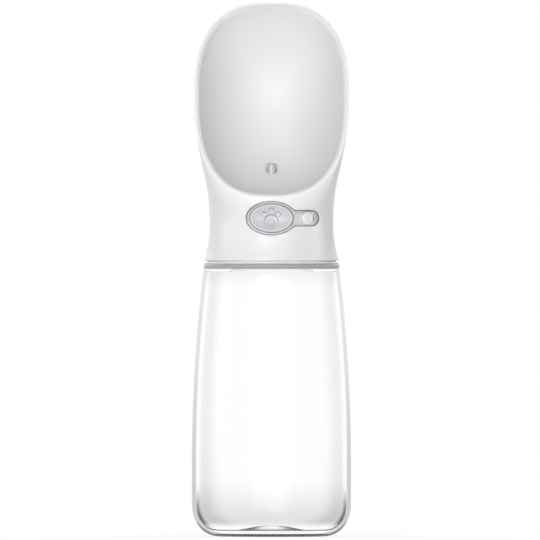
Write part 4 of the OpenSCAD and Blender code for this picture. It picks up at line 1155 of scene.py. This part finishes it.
class BOTTLE_OT_knob(bpy.types.Operator):
    """Make the round lock knob on its stem"""
    bl_idname = "dogbottle.knob"
    bl_label = "Lock knob"

    def execute(self, context):
        k, c = context.scene.dogbottle_controls, context.scene.dogbottle_finishes
        outward = Vector((math.sin(k.knob_angle), -math.cos(k.knob_angle), 0))
        side = Vector((math.cos(k.knob_angle), math.sin(k.knob_angle), 0))
        up, centre = Vector((0, 0, 1)), Vector((0, 0, k.height))
        # Distances from the axis: the pin's end and shoulder, the knob's underside and the start of its crown
        inner, shoulder, under = 18.9 * MM, 20.6 * MM, 24.95 * MM
        rim = under + 0.5 * MM
        r, stem, pin, squareness = k.knob_diameter / 2, 1.5 * MM, 1.0 * MM, 2.4
        profile = rounded([
            (0.01 * MM, inner, 0), (pin, inner, 0.2 * MM), (pin, shoulder, 0), (stem, shoulder, 0.1 * MM),
            (stem, under, 0), (r, under, 0.2 * MM), (r, rim, 0)], 6)
        # The crown's last ring stops just short of the middle, which a flat face closes
        crown, rows, short = under + k.knob_height - rim, 12, 0.3
        for i in range(1, rows + 1):
            share = math.sin(math.pi / 2 * (1 - i / (rows + short)))
            profile.append((r * share, rim + crown * (1 - share ** squareness) ** (1 / squareness)))
        rings = [[centre + outward * h + (side * math.cos(a) + up * math.sin(a)) * q for a in turns(72)]
                 for q, h in profile]
        piece = to_object(context, loft(rings, "fill", "fill"), "lock_knob_white")
        gloss = moulded("Polished pale ABS", c.knob, 0.18, 1.53, 0.8 * MM, 0.003 * MM, spread=0.03)
        finish(context, piece, "lock", "lock_knob", gloss, 50)
        return {"FINISHED"}


class BOTTLE_OT_spring(bpy.types.Operator):
    """Wind the valve's return spring with Geometry Nodes"""
    bl_idname = "dogbottle.spring"
    bl_label = "Return spring"

    def execute(self, context):
        v, c = context.scene.dogbottle_valve, context.scene.dogbottle_finishes
        material = stainless("Drawn stainless wire", c.steel)
        tree, given = new_tree(
            "Return spring", Float="Turns, Radius, Rise, Wire Radius", Vector="Start", Material="Material")
        helix = add(tree, "GeometryNodeCurveSpiral", {
            "Resolution": 36, "Rotations": given["Turns"], "Start Radius": given["Radius"],
            "End Radius": given["Radius"], "Height": given["Rise"]})
        wire = add(tree, "GeometryNodeCurvePrimitiveCircle", {"Resolution": 12, "Radius": given["Wire Radius"]})
        tube = add(tree, "GeometryNodeCurveToMesh", {
            "Curve": helix, "Profile Curve": wire, "Fill Caps": True})
        placed = add(tree, "GeometryNodeTransform", {"Geometry": tube, "Translation": given["Start"]})
        end_tree(tree, placed, given["Material"])
        half, tall, travel = v.spring_wire / 2, SPRING_HIGH.z - SPRING_LOW.z, 2 * MM
        piece = node_mesh(context, "return_spring", tree, {
            "Turns": v.spring_turns, "Radius": v.spring_radius, "Rise": tall - v.spring_wire,
            "Wire Radius": half, "Start": (0, 0, SPRING_LOW.z + half), "Material": material})
        finish(context, piece, "head", "valve_spring", material, 50)
        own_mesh(piece)
        return {"FINISHED"}


class BOTTLE_OT_screws(bpy.types.Operator):
    """Set the pan-head screws of the valve housing and the control plate with Geometry Nodes"""
    bl_idname = "dogbottle.screws"
    bl_label = "Screws"

    def execute(self, context):
        v, c = context.scene.dogbottle_valve, context.scene.dogbottle_finishes
        material = stainless("Turned stainless steel", c.steel)
        for name, node, rows in (
            ("housing_screw_set", "housing_screws", 2), ("plate_screw_set", "control_plate_screws", 1),
        ):
            low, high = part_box(node)
            centre, spread = (low + high) / 2, high - low
            screw = self.screw(context, v, spread.z - v.screw_head_height)
            piece = node_mesh(context, name, self.tree(name), {
                "Columns": 2, "Rows": rows, "Width": spread.x - 2 * v.screw_head,
                "Length": spread.y - 2 * v.screw_head if rows > 1 else 0.0,
                "Centre": (centre.x, centre.y, high.z - v.screw_head_height),
                "Screw": screw, "Material": material})
            discard(screw)
            finish(context, piece, "head", node, material, 40)
        return {"FINISHED"}

    def screw(self, context, v, shank):
        """One pan-head screw that stands on its head's underside, with a cross recess."""
        top, r, axis = v.screw_head_height, v.screw_head, 0.01 * MM
        corners = [
            (axis, -shank, 0), (v.screw_radius * 0.55, -shank, 0.1 * MM),
            (v.screw_radius, -shank + 0.8 * MM, 0), (v.screw_radius, 0, 0), (r, 0, 0.15 * MM),
            (r, top * 0.75, 0.5 * MM), (r * 0.45, top, 0.3 * MM), (axis, top, 0)]
        piece = to_object(context, lathe(rounded(corners, 3), 32, "fill", "fill"), "screw_form")
        # Half length, half width and depth of one slot of the cross
        long, wide, deep = 1.3 * MM, 0.25 * MM, 0.7 * MM
        for x, y in ((long, wide), (wide, long)):
            corners = [(-x, -y), (x, -y), (x, y), (-x, y)]
            rings = [[(*corner, z) for corner in corners] for z in (top - deep, top + 0.3 * MM)]
            carve(context, piece, to_object(context, loft(rings, "fill", "fill"), "cross_cutter"))
        return piece

    def tree(self, name):
        """A grid of places with a screw on each."""
        tree, given = new_tree(name, Int="Columns, Rows", Float="Width, Length", Vector="Centre",
                               Object="Screw", Material="Material")
        sizes = [given[label] for label in ("Width", "Length", "Columns", "Rows")]
        grid = add(tree, "GeometryNodeMeshGrid", sizes)
        moved = add(tree, "GeometryNodeTransform", {"Geometry": grid, "Translation": given["Centre"]})
        spots = add(tree, "GeometryNodeMeshToPoints", (moved,))
        form = add(tree, "GeometryNodeObjectInfo", (given["Screw"],)).outputs["Geometry"]
        copies = add(tree, "GeometryNodeInstanceOnPoints", {"Points": spots, "Instance": form})
        end_tree(tree, copies, given["Material"])
        return tree


class BOTTLE_OT_mechanism(bpy.types.Operator):
    """Give the valve's hidden parts their moulded finishes"""
    bl_idname = "dogbottle.mechanism"
    bl_label = "Valve mechanism"

    def execute(self, context):
        c = context.scene.dogbottle_finishes
        acetal = moulded("Moulded acetal", c.moving, 0.34, 1.48, 0.6 * MM, 0.004 * MM)
        seal = silicone("Moulded pale silicone", c.seal, 0.5)
        moving = ("button_carriage", "lock_latch", "valve_housing", "valve_stem", "stem_cap")
        sealing = ("neck_gasket", "valve_plug", "housing_gasket", "stem_o_ring", "outlet_tube")
        for material, nodes in ((acetal, moving), (seal, sealing)):
            for node in nodes:
                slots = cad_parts[node].material_slots
                if not slots:
                    raise RuntimeError(f"{node} has no material slot")
                for slot in slots:
                    slot.material = material
        return {"FINISHED"}


class BOTTLE_PT_panel(bpy.types.Panel):
    """Lists the pieces and the sizes of the bottle"""
    bl_label = "Dog travel water bottle"
    bl_idname = "BOTTLE_PT_panel"
    bl_space_type = "VIEW_3D"
    bl_region_type = "UI"
    bl_category = "Bottle"

    def draw(self, context):
        for operator in OPERATORS:
            self.layout.operator(operator.bl_idname)
        for name, kind in GROUPS.items():
            box = self.layout.box()
            box.label(text=kind.__doc__)
            group = getattr(context.scene, name)
            for key in kind.__annotations__:
                box.prop(group, key)


GROUPS = {
    "dogbottle_bottle": BottleSizes, "dogbottle_head": HeadSizes, "dogbottle_controls": ControlSizes,
    "dogbottle_valve": ValveSizes, "dogbottle_finishes": Finishes, "dogbottle_stage": StageSettings,
}
OPERATORS = (
    BOTTLE_OT_stage, BOTTLE_OT_bottle, BOTTLE_OT_ring, BOTTLE_OT_cap, BOTTLE_OT_shell, BOTTLE_OT_bowl,
    BOTTLE_OT_outlet, BOTTLE_OT_plate, BOTTLE_OT_button, BOTTLE_OT_knob, BOTTLE_OT_spring, BOTTLE_OT_screws, BOTTLE_OT_mechanism,
)


def register():
    for kind in (*GROUPS.values(), *OPERATORS, BOTTLE_PT_panel):
        bpy.utils.register_class(kind)
    for name, kind in GROUPS.items():
        setattr(bpy.types.Scene, name, PointerProperty(type=kind))


def unregister():
    for name in GROUPS:
        delattr(bpy.types.Scene, name)
    for kind in reversed((*GROUPS.values(), *OPERATORS, BOTTLE_PT_panel)):
        bpy.utils.unregister_class(kind)


def main():
    register()
    for operator in OPERATORS:
        group, name = operator.bl_idname.split(".")
        getattr(getattr(bpy.ops, group), name)()


if __name__ == "__main__":
    main()
